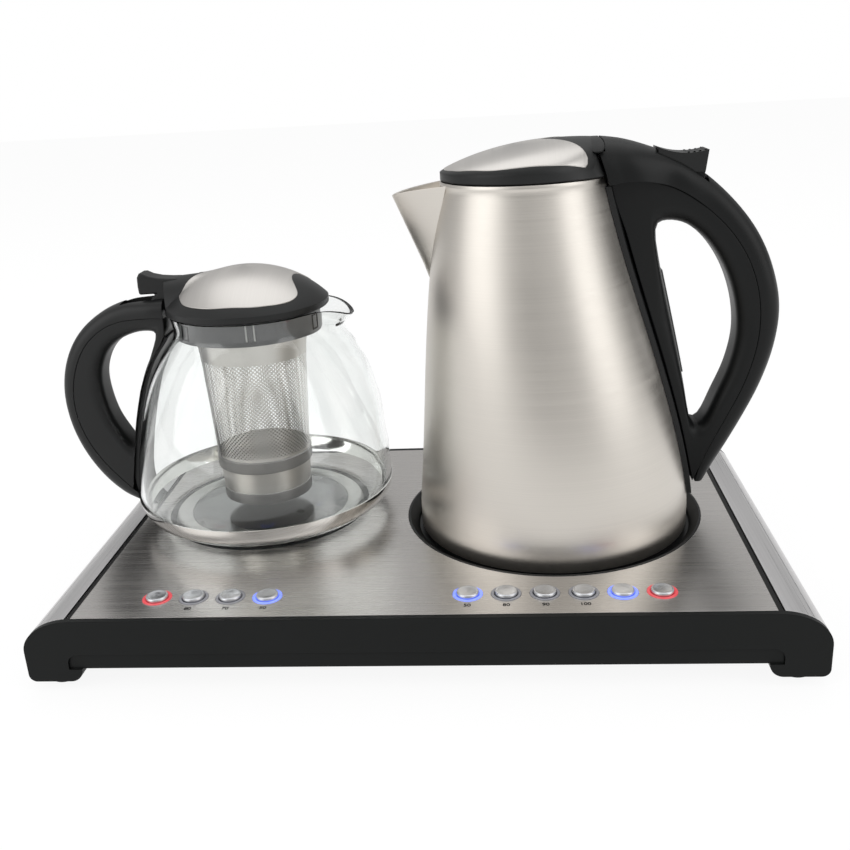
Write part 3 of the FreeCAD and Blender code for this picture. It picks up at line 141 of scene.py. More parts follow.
def brushed_steel(name, colour, stretch, rough=0.3, across=0.5, axis=None, depth=0.05, cloud=9.0,
                  edge=0.0004, span=(0.87, 1.06)):
    material, tree, shader = start_finish(name, colour, rough, 1.0, Anisotropic=across)
    place = add(tree, "TexCoord").outputs["Object"]
    lines = add(tree, "Mapping", {"Vector": place, "Scale": stretch}).outputs["Vector"]
    fine = {"Vector": lines, "Scale": 1.0, "Detail": 5.0, "Roughness": 0.7}
    scratch = add(tree, "TexNoise", fine).outputs["Fac"]
    broad = add(tree, "TexNoise", {"Vector": place, "Scale": cloud, "Detail": 2.0}).outputs["Fac"]
    mixed = add(tree, "Math", {0: scratch, 1: 0.75}, operation="MULTIPLY").outputs[0]
    mixed = add(tree, "Math", {0: broad, 1: 0.25, 2: mixed}, operation="MULTIPLY_ADD").outputs[0]
    dark, light = (tuple(min(1.0, share * c) for c in colour) for share in span)
    tree.links.new(ramp(tree, mixed, dark, light), shader.inputs["Base Color"])
    tree.links.new(ramp(tree, mixed, rough - 0.05, rough + 0.07), shader.inputs["Roughness"])
    bump = add(tree, "Bump", {"Height": scratch, "Strength": 0.25, "Distance": depth * 0.001,
                              "Normal": soft_edges(tree, edge)})
    tree.links.new(bump.outputs["Normal"], shader.inputs["Normal"])
    if axis:
        tangent = add(tree, "Tangent", direction_type="RADIAL", axis=axis)
        tree.links.new(tangent.outputs["Tangent"], shader.inputs["Tangent"])
    return material


PLATE_STEEL = brushed_steel("plate_steel", (0.6, 0.58, 0.56), (3.0, 2200.0, 2200.0), rough=0.27,
                            across=0.35, depth=0.02, span=(0.92, 1.04))
SIDE_STEEL = brushed_steel("side_steel", (0.66, 0.65, 0.65), (1400.0, 5.0, 1400.0), rough=0.3, across=0.35)
KETTLE_STEEL = brushed_steel("kettle_steel", (0.66, 0.625, 0.575), (3.0, 3.0, 2600.0), rough=0.34,
                             across=0.6, axis="Z", depth=0.008, cloud=16.0, span=(0.95, 1.03))
LID_STEEL = brushed_steel("lid_steel", (0.58, 0.56, 0.535), (2200.0, 3.0, 3.0), rough=0.36, across=0.4,
                          depth=0.012, span=(0.94, 1.03))
PLAIN_STEEL = brushed_steel("plain_steel", (0.55, 0.54, 0.52), (60.0, 60.0, 500.0), rough=0.36, across=0.2)
print("steels:", [m.name for m in (PLATE_STEEL, SIDE_STEEL, KETTLE_STEEL, LID_STEEL, PLAIN_STEEL)])

# %% [markdown]
# The black mouldings have a fine matt grain, like a satin paint. Two sizes of
# noise in the bump give that grain, and a faint cloud in the roughness keeps
# large faces from looking flat.

# %% Black mouldings and rubber


def moulding(name, colour, rough, grain=0.35, grain_size=2600.0, edge=0.0006, **values):
    material, tree, shader = start_finish(name, colour, rough, 0.0, **values)
    place = add(tree, "TexCoord").outputs["Object"]
    fine = add(tree, "TexNoise", {"Vector": place, "Scale": grain_size, "Detail": 3.0}).outputs["Fac"]
    broad = add(tree, "TexNoise", {"Vector": place, "Scale": 26.0, "Detail": 2.0}).outputs["Fac"]
    tree.links.new(ramp(tree, broad, rough - 0.04, rough + 0.05), shader.inputs["Roughness"])
    shade = ramp(tree, fine, tuple(0.9 * c for c in colour), tuple(1.12 * c for c in colour))
    tree.links.new(shade, shader.inputs["Base Color"])
    bump = add(tree, "Bump", {"Height": fine, "Strength": grain, "Distance": 0.00003,
                              "Normal": soft_edges(tree, edge)})
    tree.links.new(bump.outputs["Normal"], shader.inputs["Normal"])
    return material


SATIN_BLACK = moulding("satin_black", (0.0075, 0.008, 0.008), 0.42, Specular_IOR_Level=0.34)
KETTLE_BLACK = moulding("kettle_black", (0.0045, 0.005, 0.005), 0.4, Specular_IOR_Level=0.22)
FASCIA_BLACK = moulding("fascia_black", (0.0052, 0.006, 0.0058), 0.46, Specular_IOR_Level=0.17)
DULL_BLACK = moulding("dull_black", (0.006, 0.006, 0.006), 0.55, Specular_IOR_Level=0.3)
RUBBER = moulding("rubber", (0.014, 0.014, 0.014), 0.75, grain=0.6, grain_size=900.0)
SILICONE = moulding("silicone", (0.55, 0.55, 0.53), 0.5, grain=0.15)
DARK_COATING = moulding("dark_coating", (0.05, 0.05, 0.052), 0.3, grain=0.5, grain_size=1500.0)
BOARD_GREEN = moulding("board_green", (0.02, 0.11, 0.045), 0.35)
FROSTED = moulding("window_strip", (0.03, 0.031, 0.032), 0.25, grain=0.1)
print("mouldings made")

# %% [markdown]
# Clear glass needs no colour of its own: it bends the light that comes
# through, and its edges show dark and bright lines. The band round the
# teapot is polished, so its roughness is close to zero.

# %% Glass, polish and the half-clear collar


def clear_glass():
    material, tree, shader = start_finish("clear_glass", (1.0, 1.0, 1.0), 0.0, 0.0,
                                          Transmission_Weight=1.0, IOR=1.47)
    place = add(tree, "TexCoord").outputs["Object"]
    ripple = add(tree, "TexNoise", {"Vector": place, "Scale": 38.0, "Detail": 1.0}).outputs["Fac"]
    bump = add(tree, "Bump", {"Height": ripple, "Strength": 0.12, "Distance": 0.0006})
    tree.links.new(bump.outputs["Normal"], shader.inputs["Normal"])
    tint = ramp(tree, ripple, (0.955, 0.972, 0.965), (0.985, 0.995, 0.99))
    tree.links.new(tint, shader.inputs["Base Color"])
    return material


def polished_steel():
    material, tree, shader = start_finish("polished_steel", (0.66, 0.65, 0.63), 0.08, 1.0)
    place = add(tree, "TexCoord").outputs["Object"]
    wipe = add(tree, "TexNoise", {"Vector": place, "Scale": 60.0, "Detail": 4.0}).outputs["Fac"]
    tree.links.new(ramp(tree, wipe, 0.05, 0.14), shader.inputs["Roughness"])
    return material


def smoke_plastic():
    material, tree, shader = start_finish("smoke_plastic", (0.2, 0.2, 0.2), 0.25, 0.0,
                                          Transmission_Weight=0.35, IOR=1.45)
    place = add(tree, "TexCoord").outputs["Object"]
    haze = add(tree, "TexNoise", {"Vector": place, "Scale": 20.0, "Detail": 3.0}).outputs["Fac"]
    shade = ramp(tree, haze, (0.15, 0.15, 0.152), (0.175, 0.175, 0.177))
    tree.links.new(shade, shader.inputs["Base Color"])
    tree.links.new(ramp(tree, haze, 0.28, 0.33), shader.inputs["Roughness"])
    return material


CLEAR_GLASS = clear_glass()
POLISHED_STEEL = polished_steel()
SMOKE_PLASTIC = smoke_plastic()
print("clear pieces made")

# %% [markdown]
# The button caps are turned on a lathe, so their scratches are circles. One
# finish has to serve ten buttons, so each cap's own mesh carries the circles:
# every vertex stores how far it lies from the middle of its cap. The rings
# round some buttons are lit, which is a plain emission.

# %% Button caps and lit rings


def spun_steel():
    material, tree, shader = start_finish("spun_steel", (0.62, 0.63, 0.65), 0.26, 1.0, Anisotropic=0.8)
    reach = add(tree, "Attribute", attribute_name="reach").outputs["Fac"]
    rings = add(tree, "Math", {0: reach, 1: 90.0}, operation="MULTIPLY").outputs[0]
    fine = {"W": rings, "Scale": 1.0, "Detail": 4.0}
    lines = add(tree, "TexNoise", fine, noise_dimensions="1D").outputs["Fac"]
    tree.links.new(ramp(tree, lines, 0.2, 0.34), shader.inputs["Roughness"])
    tree.links.new(ramp(tree, lines, (0.5, 0.51, 0.53), (0.72, 0.73, 0.75)), shader.inputs["Base Color"])
    bump = add(tree, "Bump", {"Height": lines, "Strength": 0.2, "Distance": 0.00004})
    tree.links.new(bump.outputs["Normal"], shader.inputs["Normal"])
    tangent = add(tree, "Tangent", direction_type="UV_MAP", uv_map="turn")
    tree.links.new(tangent.outputs["Tangent"], shader.inputs["Tangent"])
    return material


def lit_ring(name, body, glow, strength):
    material, tree, shader = start_finish(name, body, 0.3, 0.0, Emission_Color=(*glow, 1.0))
    place = add(tree, "TexCoord").outputs["Object"]
    patch = add(tree, "TexNoise", {"Vector": place, "Scale": 500.0, "Detail": 1.0}).outputs["Fac"]
    tree.links.new(ramp(tree, patch, strength * 0.85, strength * 1.1), shader.inputs["Emission Strength"])
    return material


SPUN_STEEL = spun_steel()
RING_RED = lit_ring("ring_red", (0.45, 0.06, 0.07), (1.0, 0.1, 0.12), 0.42)
RING_BLUE = lit_ring("ring_blue", (0.2, 0.26, 0.7), (0.16, 0.24, 1.0), 0.85)
# The clear rings are not lit; their faint emission is a painted glow.
RING_CLEAR = lit_ring("ring_clear", (0.26, 0.26, 0.28), (0.3, 0.32, 0.4), 0.05)
print("button finishes made")

# %% [markdown]
# The infuser's wall is a fine mesh of punched holes with a plain band at the
# top and the bottom. Waves along the wall's two directions cross in a grid of
# dots, and the dots are let through as holes.

# %% Perforated steel


HOLES_FROM, HOLES_TO = 0.34, 0.86
HOLE_EDGE = 0.04


def punched_steel(name, holes_round, holes_up):
    material, tree, shader = start_finish(name, (0.6, 0.57, 0.53), 0.33, 1.0, Anisotropic=0.3)
    along = add(tree, "UVMap", uv_map="turn").outputs["UV"]
    parts = add(tree, "SeparateXYZ", {"Vector": along})
    waves = []
    for out, count in (("X", holes_round), ("Y", holes_up)):
        angle = {0: parts.outputs[out], 1: count * 2 * math.pi}
        turns = add(tree, "Math", angle, operation="MULTIPLY").outputs[0]
        waves.append(add(tree, "Math", {0: turns}, operation="SINE").outputs[0])
    cross = add(tree, "Math", {0: waves[0], 1: waves[1]}, operation="MULTIPLY").outputs[0]
    hole = add(tree, "Math", {0: cross, 1: HOLE_EDGE}, operation="GREATER_THAN").outputs[0]
    lower = add(tree, "Math", {0: parts.outputs["Y"], 1: HOLES_TO}, operation="LESS_THAN").outputs[0]
    upper = add(tree, "Math", {0: parts.outputs["Y"], 1: HOLES_FROM}, operation="GREATER_THAN").outputs[0]
    zone = add(tree, "Math", {0: lower, 1: upper}, operation="MULTIPLY").outputs[0]
    hole = add(tree, "Math", {0: hole, 1: zone}, operation="MULTIPLY").outputs[0]
    solid = add(tree, "Math", {0: 1.0, 1: hole}, operation="SUBTRACT").outputs[0]
    tree.links.new(solid, shader.inputs["Alpha"])
    place = add(tree, "TexCoord").outputs["Object"]
    stain = add(tree, "TexNoise", {"Vector": place, "Scale": 40.0, "Detail": 3.0}).outputs["Fac"]
    tree.links.new(ramp(tree, stain, (0.6, 0.575, 0.54), (0.68, 0.655, 0.62)), shader.inputs["Base Color"])
    return material


PUNCHED_STEEL = punched_steel("punched_steel", 72.0, 48.0)
print("infuser finish made")

# %% [markdown]
# Most pieces below are skins over a row of rings: a ring is a closed loop of
# points, and each pair of neighbouring rings is joined by four-sided faces.
# Turned pieces, the kettle's wall and the handles are all made this way.

# %% Helpers for shapes


def make_piece(name, rings, finish, body, closed=True, caps=(False, False), loop=False, stands_for=()):
    """A piece from rings of points in millimetres. loop joins the last ring to the first."""
    count = len(rings[0])
    points = [spot(*p) for ring in rings for p in ring]
    faces = []
    rows = len(rings) if loop else len(rings) - 1
    steps = count if closed else count - 1
    for i in range(rows):
        a, b = i * count, ((i + 1) % len(rings)) * count
        for k in range(steps):
            n = (k + 1) % count
            faces.append((a + k, a + n, b + n, b + k))
    if caps[0]:
        faces.append(tuple(reversed(range(count))))
    if caps[1]:
        last = (len(rings) - 1) * count
        faces.append(tuple(range(last, last + count)))
    mesh = bpy.data.meshes.new(name)
    mesh.from_pydata(points, [], faces)
    turn = mesh.uv_layers.new(name="turn")
    for polygon in mesh.polygons:
        for corner in polygon.loop_indices:
            vertex = mesh.loops[corner].vertex_index
            turn.data[corner].uv = ((vertex % count) / count, (vertex // count) / max(1, len(rings) - 1))
    return show(name, mesh, finish, body, stands_for)


def show(name, mesh, finish, body, stands_for=()):
    """Links a mesh as a smooth piece that rides on a body."""
    mesh.materials.append(finish)
    piece = bpy.data.objects.new(name, mesh)
    bpy.context.scene.collection.objects.link(piece)
    bpy.context.view_layer.objects.active = piece
    with bpy.context.temp_override(object=piece, active_object=piece, selected_objects=[piece],
                                   selected_editable_objects=[piece]):
        bpy.ops.object.mode_set(mode="EDIT")
        bpy.ops.mesh.select_all(action="SELECT")
        bpy.ops.mesh.normals_make_consistent(inside=False)
        bpy.ops.object.mode_set(mode="OBJECT")
    mesh.shade_smooth()
    mesh.set_sharp_from_angle(angle=math.radians(38))
    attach(piece, body)
    if stands_for:
        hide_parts(*stands_for)
    return piece


def curve_through(points, count):
    """Evenly spread points on a smooth curve through the given ones."""
    size = len(points[0])
    dense = []
    last = len(points) - 1
    for i in range(last):
        p = [points[max(0, i - 1)], points[i], points[i + 1], points[min(last, i + 2)]]
        for s in range(20):
            t = s / 20
            dense.append(tuple(0.5 * (2 * p[1][k] + (p[2][k] - p[0][k]) * t
                                      + (2 * p[0][k] - 5 * p[1][k] + 4 * p[2][k] - p[3][k]) * t * t
                                      + (3 * p[1][k] - p[0][k] - 3 * p[2][k] + p[3][k]) * t ** 3)
                               for k in range(size)))
    dense.append(tuple(points[-1]))
    run = [0.0]
    for a, b in zip(dense, dense[1:]):
        run.append(run[-1] + math.dist(a, b))
    result = []
    k = 0
    for i in range(count):
        want = run[-1] * i / (count - 1)
        while k < len(run) - 2 and run[k + 1] < want:
            k += 1
        share = (want - run[k]) / max(1e-9, run[k + 1] - run[k])
        result.append(tuple(a + (b - a) * share for a, b in zip(dense[k], dense[k + 1])))
    return result


def circle(r, z, x, y, count):
    return [(x + r * math.cos(2 * math.pi * k / count), y + r * math.sin(2 * math.pi * k / count), z)
            for k in range(count)]


def turned(name, outline, x, y, finish, body, count=96, stands_for=(), around=False):
    """An outline of (radius, height) turned about an upright axis."""
    rings = [circle(max(r, 0.01), z, x, y, count) for r, z in outline]
    return make_piece(name, rings, finish, body, stands_for=stands_for, loop=around)


print("shape helpers ready")

# %% [markdown]
# The base is right as the CAD made it, so its nodes stay and only take a
# finish. The brushed steels and the black mouldings round the sharp edges a
# little in their shading.

# %% Finishes for the base and the inner pieces
CAD_FINISH = {
    "front_frame": FASCIA_BLACK, "rear_frame": FASCIA_BLACK, "bottom_cover": DULL_BLACK,
    "top_deck": DULL_BLACK, "top_plate": PLATE_STEEL, "side_strips": SIDE_STEEL, "side_rails": SIDE_STEEL,
    "rubber_feet": RUBBER, "base_screws": PLAIN_STEEL, "cable_inlet": DULL_BLACK,
    "recess_ring": SATIN_BLACK, "socket_body": DULL_BLACK,
    "warming_bezel": SATIN_BLACK, "warming_ring": PLAIN_STEEL, "warming_disc": DARK_COATING,
    "warming_heater": PLAIN_STEEL, "light_rings_red": RING_RED, "light_rings_blue": RING_BLUE,
    "light_rings_clear": RING_CLEAR, "tact_switches": DULL_BLACK, "control_board": BOARD_GREEN,
    "power_board": BOARD_GREEN, "kettle_body": KETTLE_STEEL, "kettle_spout": KETTLE_STEEL,
    "kettle_spout_filter": PLAIN_STEEL, "kettle_seat_ring": DULL_BLACK, "kettle_base": DULL_BLACK,
    "kettle_heater_plate": PLAIN_STEEL, "kettle_connector": DULL_BLACK, "kettle_spine": SATIN_BLACK,
    "kettle_handle_inner": SATIN_BLACK, "kettle_handle_outer": SATIN_BLACK, "kettle_window": FROSTED,
    "kettle_hinge_pin": PLAIN_STEEL, "kettle_lid_cap": SATIN_BLACK, "kettle_lid_inlay": LID_STEEL,
    "kettle_lid_liner": DULL_BLACK, "kettle_lid_seal": SILICONE, "kettle_lid_button": SATIN_BLACK,
    "teapot_glass": CLEAR_GLASS, "teapot_band": POLISHED_STEEL, "teapot_strap": SATIN_BLACK,
    "teapot_handle_outer": SATIN_BLACK, "teapot_handle_inner": SATIN_BLACK, "teapot_hinge_pin": PLAIN_STEEL,
    "infuser_collar": SMOKE_PLASTIC, "infuser_basket": PUNCHED_STEEL, "teapot_lid_shell": SATIN_BLACK,
    "teapot_lid_inlay": LID_STEEL, "teapot_lid_liner": DULL_BLACK,
}
for name, node in NODES.items():
    finish = CAD_FINISH.get(name, SPUN_STEEL)
    node.data.materials.clear()
    node.data.materials.append(finish)
print("nodes with a finish:", len(NODES), "of them buttons:", len(NODES) - len(CAD_FINISH))

# %% [markdown]
# The kettle's side leans: its radius shrinks and its middle moves a little to
# the left on the way up. The spout and the inner side of the handle start
# from this side.

# %% The kettle's measures
KETTLE_X, KETTLE_Y = 72.2, 10.8
RIM_X, HINGE_X, HINGE_Z = 58.9, 95.8, 245.2
KETTLE_WIDE, KETTLE_NARROWING, KETTLE_BULGE = 76.4, 32.8, 2.6
LEAN_FROM, LEAN_RISE = 47.3, 179.0


def kettle_share(z):
    return min(1.0, max(0.0, (z - LEAN_FROM) / LEAN_RISE))


def kettle_radius(z):
    t = kettle_share(z)
    return KETTLE_WIDE - KETTLE_NARROWING * t + KETTLE_BULGE * math.sin(math.pi * t ** 0.75)


def kettle_middle(z):
    t = kettle_share(z)
    return KETTLE_X - (KETTLE_X - RIM_X) * (3 * t * t - 2 * t ** 3)


print("side at half height:", round(kettle_middle(140) + kettle_radius(140), 1))

# %% [markdown]
# Both handles are made of an outer shell and an inner half. The shell runs
# between an outer line and a seam line, and is rounded across like a bar of
# soap. The inner half is a block round the finger hole, with rounded edges.

# %% Helpers for the handles


def crown(name, outer, seam, half, power, y, finish, body, stands_for=(), stations=72, count=28):
    rings = []
    for p, q in zip(curve_through(outer, stations), curve_through(seam, stations)):
        wide, bend = half(p[0]), power(p[0])
        ring = []
        for k in range(count + 1):
            c, s = math.cos(math.pi * k / count), math.sin(math.pi * k / count)
            up = abs(s) ** (2 / bend)
            ring.append((q[0] + (p[0] - q[0]) * up, y + wide * math.copysign(abs(c) ** (2 / bend), c),
                         q[1] + (p[1] - q[1]) * up))
        rings.append(ring)
    return make_piece(name, rings, finish, body, caps=(True, True), stands_for=stands_for)


def first_hit(line, start, angle, far=False):
    """How far a ray from start runs before it meets a closed line."""
    dx, dz = math.cos(angle), math.sin(angle)
    hits = []
    for a, b in zip(line, line[1:] + line[:1]):
        ex, ez = b[0] - a[0], b[1] - a[1]
        cross = dx * ez - dz * ex
        if abs(cross) < 1e-9:
            continue
        t = ((a[0] - start[0]) * ez - (a[1] - start[1]) * ex) / cross
        u = ((a[0] - start[0]) * dz - (a[1] - start[1]) * dx) / cross
        if t > 0 and -1e-6 <= u <= 1 + 1e-6:
            hits.append(t)
    return max(hits) if far else min(hits)


def ring_block(name, hole, edge, half, y, finish, body, stands_for=(), inside=5.0, count=144):
    start = (sum(p[0] for p in hole) / len(hole), sum(p[1] for p in hole) / len(hole))
    rings = []
    for i in range(count):
        angle = 2 * math.pi * i / count
        near, far = first_hit(hole, start, angle), first_hit(edge, start, angle)
        r = min(inside, 0.8 * (far - near))
        side = [(far + 0.3, half - 0.7), (far - 0.1, half - 0.4), (far - 0.5, half)]
        for j in range(9):
            a = math.pi / 2 * j / 8
            side.append((near + r * (1 - math.sin(a)), half - 0.85 * inside * (1 - math.cos(a))))
        ring = side + [(d, -w) for d, w in reversed(side)]
        rings.append([(start[0] + d * math.cos(angle), y + w, start[1] + d * math.sin(angle))
                      for d, w in ring])
    return make_piece(name, rings, finish, body, loop=True, stands_for=stands_for)


def carve(piece, cutter):
    """Takes the cutter's room out of a piece for good."""
    tool = piece.modifiers.new("room", "BOOLEAN")
    tool.operation = "DIFFERENCE"
    tool.solver = "EXACT"
    tool.object = cutter
    graph = bpy.context.evaluated_depsgraph_get()
    mesh = bpy.data.meshes.new_from_object(piece.evaluated_get(graph))
    piece.modifiers.clear()
    piece.data = mesh
    bpy.data.objects.remove(cutter)
    return len(mesh.vertices)


def block(x0, x1, y0, y1, z0, z1, name="cutter"):
    mesh = bpy.data.meshes.new(name)
    corners = [spot(x, y, z) for z in (z0, z1) for x, y in ((x0, y0), (x1, y0), (x1, y1), (x0, y1))]
    sides = [(k, (k + 1) % 4, (k + 1) % 4 + 4, k + 4) for k in range(4)]
    mesh.from_pydata(corners, [], [(3, 2, 1, 0), (4, 5, 6, 7)] + sides)
    cutter = bpy.data.objects.new(name, mesh)
    bpy.context.scene.collection.objects.link(cutter)
    return cutter


def prism(outline, y0, y1, name="cutter"):
    """A straight bar between two depths from an outline of (x, z)."""
    count = len(outline)
    mesh = bpy.data.meshes.new(name)
    faces = [tuple(range(count)), tuple(reversed(range(count, 2 * count)))]
    faces += [(k, k + count, (k + 1) % count + count, (k + 1) % count) for k in range(count)]
    mesh.from_pydata([spot(x, y, z) for y in (y0, y1) for x, z in outline], [], faces)
    mesh.validate()
    cutter = bpy.data.objects.new(name, mesh)
    bpy.context.scene.collection.objects.link(cutter)
    return cutter


def disc_line(x, z, r, count=40):
    return [(x + r * math.cos(2 * math.pi * k / count), z + r * math.sin(2 * math.pi * k / count))
            for k in range(count)]


def bar(name, outline, half, y, finish, body, stands_for=()):
    """A straight piece from an outline of (x, z), as deep on both sides of y."""
    return make_piece(name, [[(x, side, z) for x, z in outline] for side in (y - half, y + half)], finish,
                      body, caps=(True, True), stands_for=stands_for)


print("handle helpers ready")

# %% [markdown]
# The kettle's outer shell is as wide as the lid where they meet and narrows
# to the grip. It has a pocket for the lid's knuckle and a room for the
# release button, whose skirt reaches down into it.

# %% The kettle's handle
KETTLE_OUTER = [(94.6, 248.8), (109.8, 246.6), (124.8, 241.9), (140.0, 235.4), (153.4, 226.8),
                (167.0, 214.3), (178.4, 200.4), (186.4, 186.0), (191.8, 170.6), (194.2, 157.3),
                (193.9, 144.0), (191.1, 128.8), (185.7, 112.4), (178.6, 96.7), (170.4, 80.9),
                (162.3, 66.8), (157.6, 58.6)]
KETTLE_SEAM = [(101.7, 225.4), (111.2, 226.6), (121.9, 225.8), (135.5, 222.0), (149.3, 213.6),
               (162.6, 201.6), (172.4, 188.4), (179.0, 173.6), (182.2, 158.4), (182.4, 143.3),
               (179.9, 128.5), (174.8, 113.0), (167.3, 96.9), (159.4, 80.9), (154.3, 69.0), (151.6, 59.2)]
KNUCKLE_R, PIN_R = 3.75, 1.5
POCKET_R = KNUCKLE_R + 0.4
RELEASE_TRAVEL, RELEASE_GAP, RELEASE_HALF = 2.5, 0.5, 9.5
SKIRT_LENGTH, SKIRT_DROP = 9.4, 4.0


def between(x, table):
    """A value that runs smoothly between the pairs of a table."""
    if x <= table[0][0]:
        return table[0][1]
    for (x0, v0), (x1, v1) in zip(table, table[1:]):
        if x < x1:
            t = (x - x0) / (x1 - x0)
            return v0 + (v1 - v0) * t * t * (3 - 2 * t)
    return table[-1][1]


grip_shell = crown("kettle_grip_shell", KETTLE_OUTER, KETTLE_SEAM,
                   lambda x: between(x, [(95.0, 24.0), (106.0, 22.0), (136.0, 14.5), (156.0, 13.0)]),
                   lambda x: between(x, [(95.0, 2.5), (140.0, 2.6), (156.0, 2.5)]),
                   KETTLE_Y, KETTLE_BLACK, "kettle", stands_for=["kettle_handle_outer"])
carve(grip_shell, prism(disc_line(HINGE_X, HINGE_Z, POCKET_R), KETTLE_Y - 30.0, KETTLE_Y + 30.0))
button_low, button_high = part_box("kettle_lid_button")
low_corner = (Vector(button_low) - MIDDLE) * 1000.0
high_corner = (Vector(button_high) - MIDDLE) * 1000.0
carve(grip_shell, block(low_corner.x - RELEASE_GAP, high_corner.x + RELEASE_GAP, KETTLE_Y - RELEASE_HALF,
                        KETTLE_Y + RELEASE_HALF, low_corner.z - RELEASE_TRAVEL - 0.1, high_corner.z + 20.0))
carve(grip_shell, block(high_corner.x - SKIRT_LENGTH - 0.6, high_corner.x + RELEASE_GAP,
                        KETTLE_Y - RELEASE_HALF, KETTLE_Y + RELEASE_HALF,
                        low_corner.z - SKIRT_DROP - RELEASE_TRAVEL - 0.5, low_corner.z))
skirt = [(high_corner.x - SKIRT_LENGTH, low_corner.z + 1.0), (high_corner.x - 1.2, low_corner.z + 1.0),
         (high_corner.x - 1.8, low_corner.z - SKIRT_DROP),
         (high_corner.x - SKIRT_LENGTH, low_corner.z - SKIRT_DROP)]
bar("release_skirt", skirt, 7.5, KETTLE_Y, KETTLE_BLACK, "kettle_release")

KETTLE_HOLE = curve_through([(127.4, 200.6), (128.3, 203.2), (131.4, 204.5), (137.4, 204.3), (145.2, 201.2),
                             (155.2, 191.9), (164.1, 177.4), (169.8, 160.0), (171.4, 142.3), (168.1, 124.4),
                             (161.6, 107.7), (157.0, 96.4), (153.6, 92.2), (149.9, 93.0), (147.6, 98.6),
                             (143.9, 119.1), (138.0, 146.5), (130.7, 178.8), (127.6, 195.0)], 110)
seam = curve_through(KETTLE_SEAM, 60)
body_side = []
for k in range(61):
    z = 59.0 + 166.4 * k / 60
    groove = between(z, [(196.0, 2.6), (224.0, 0.4)])
    body_side.append((kettle_middle(z) + kettle_radius(z) + groove, z))
ring_block("kettle_grip_inner", KETTLE_HOLE, seam[:-1] + body_side, 13.0, KETTLE_Y, KETTLE_BLACK, "kettle",
           stands_for=["kettle_handle_inner"], inside=9.0)
WINDOW_LINE = [(130.9, 178.0), (134.4, 162.6), (138.0, 146.5), (141.0, 132.8), (143.5, 121.0)]
strip = [(x + 1.1, z) for x, z in WINDOW_LINE] + [(x - 2.0, z) for x, z in reversed(WINDOW_LINE)]
bar("kettle_level_window", strip, 3.6, KETTLE_Y, FROSTED, "kettle", stands_for=["kettle_window"])
print("kettle handle: shell, inner half, window and the button's skirt")

# %% [markdown]
# The body is a thin steel wall, leaning as measured, with a rolled rim. An
# opening in the wall lets the water through to the spout. The spout is a beak:
# in plan a rounded V that shrinks on the way down, with a rising top edge.

# %% The kettle's body and spout
WALL_FOOT, WALL_RISE, WALL_T = 36.3, 190.0, 1.2
rings = []
for k in range(61):
    z = WALL_FOOT + WALL_RISE * k / 60
    rings.append(circle(kettle_radius(z), z, kettle_middle(z), KETTLE_Y, 144))
for r, z in [(43.75, 227.4), (43.75, 229.1), (43.5, 229.5), (43.1, 229.6), (42.7, 229.4), (42.5, 229.0)]:
    rings.append(circle(r, z, RIM_X, KETTLE_Y, 144))
for k in range(31):
    z = WALL_FOOT + WALL_RISE - WALL_RISE * k / 30
    rings.append(circle(kettle_radius(z) - WALL_T, z, kettle_middle(z), KETTLE_Y, 144))
wall = make_piece("kettle_wall", rings, KETTLE_STEEL, "kettle", loop=True, stands_for=["kettle_body"])
carve(wall, block(-10.0, 30.0, KETTLE_Y - 8.5, KETTLE_Y + 8.5, 203.0, 222.0))

RIDGE = curve_through([(-10.6, 222.9), (-6.9, 213.9), (-3.1, 204.5), (0.8, 195.0), (4.1, 186.8),
                       (7.0, 178.6)], 25)
rings = []
for i, (tip, z) in enumerate(RIDGE):
    share = i / 24
    half = 1.2 + 17.3 * (1 - share) ** 0.8
    end = kettle_middle(z) - math.sqrt(kettle_radius(z) ** 2 - half * half) + 0.8
    outer, inner = [], []
    for k in range(31):
        v = k / 15 - 1
        y = half * v
        root = kettle_middle(z) - math.sqrt(kettle_radius(z) ** 2 - y * y) + 0.8
        bend = (1 - abs(v) ** 1.55) ** 0.95
        rise = 5.6 * (1 - share) ** 3 * (1 - bend) ** 0.6
        x = end + (tip - end) * bend
        outer.append((min(x, root), KETTLE_Y + y, z + rise))
        inner.append((min(x + WALL_T, root + 0.6), KETTLE_Y + y * (half - 0.9) / half, z + rise))
    rings.append(outer + list(reversed(inner)))
make_piece("kettle_beak", rings, KETTLE_STEEL, "kettle", caps=(True, True), stands_for=["kettle_spout"])
print("spout rings:", len(rings))

# %% [markdown]
# Both lids are caps whose height is a simple function of the place on them.
# Rings spread from the middle to the rim, then a wall goes down. The steel
# covers are thin sheets that follow the same height inside their own outline.

# %% The kettle's lid


def cap(name, middle, height, edge_top, edge_low, low, finish, body, stands_for=(), count=144):
    """A lid from its height function and its reach at the top and at the bottom."""
    rings = []
    angles = [2 * math.pi * k / count for k in range(count)]
    for i in range(1, 27):
        f = 1 - (1 - i / 26) ** 2.2
        ring = []
        for a in angles:
            x, y = middle[0] + f * edge_top(a) * math.cos(a), middle[1] + f * edge_top(a) * math.sin(a)
            ring.append((x, y, height(x, y)))
        rings.append(ring)
    for inset, z in ((0.0, low + 0.5), (0.5, low), (2.6, low), (2.6, low + 2.6)):
        rings.append([(middle[0] + (edge_low(a) - inset) * math.cos(a),
                       middle[1] + (edge_low(a) - inset) * math.sin(a), z) for a in angles])
    return make_piece(name, rings, finish, body, caps=(True, True), stands_for=stands_for)


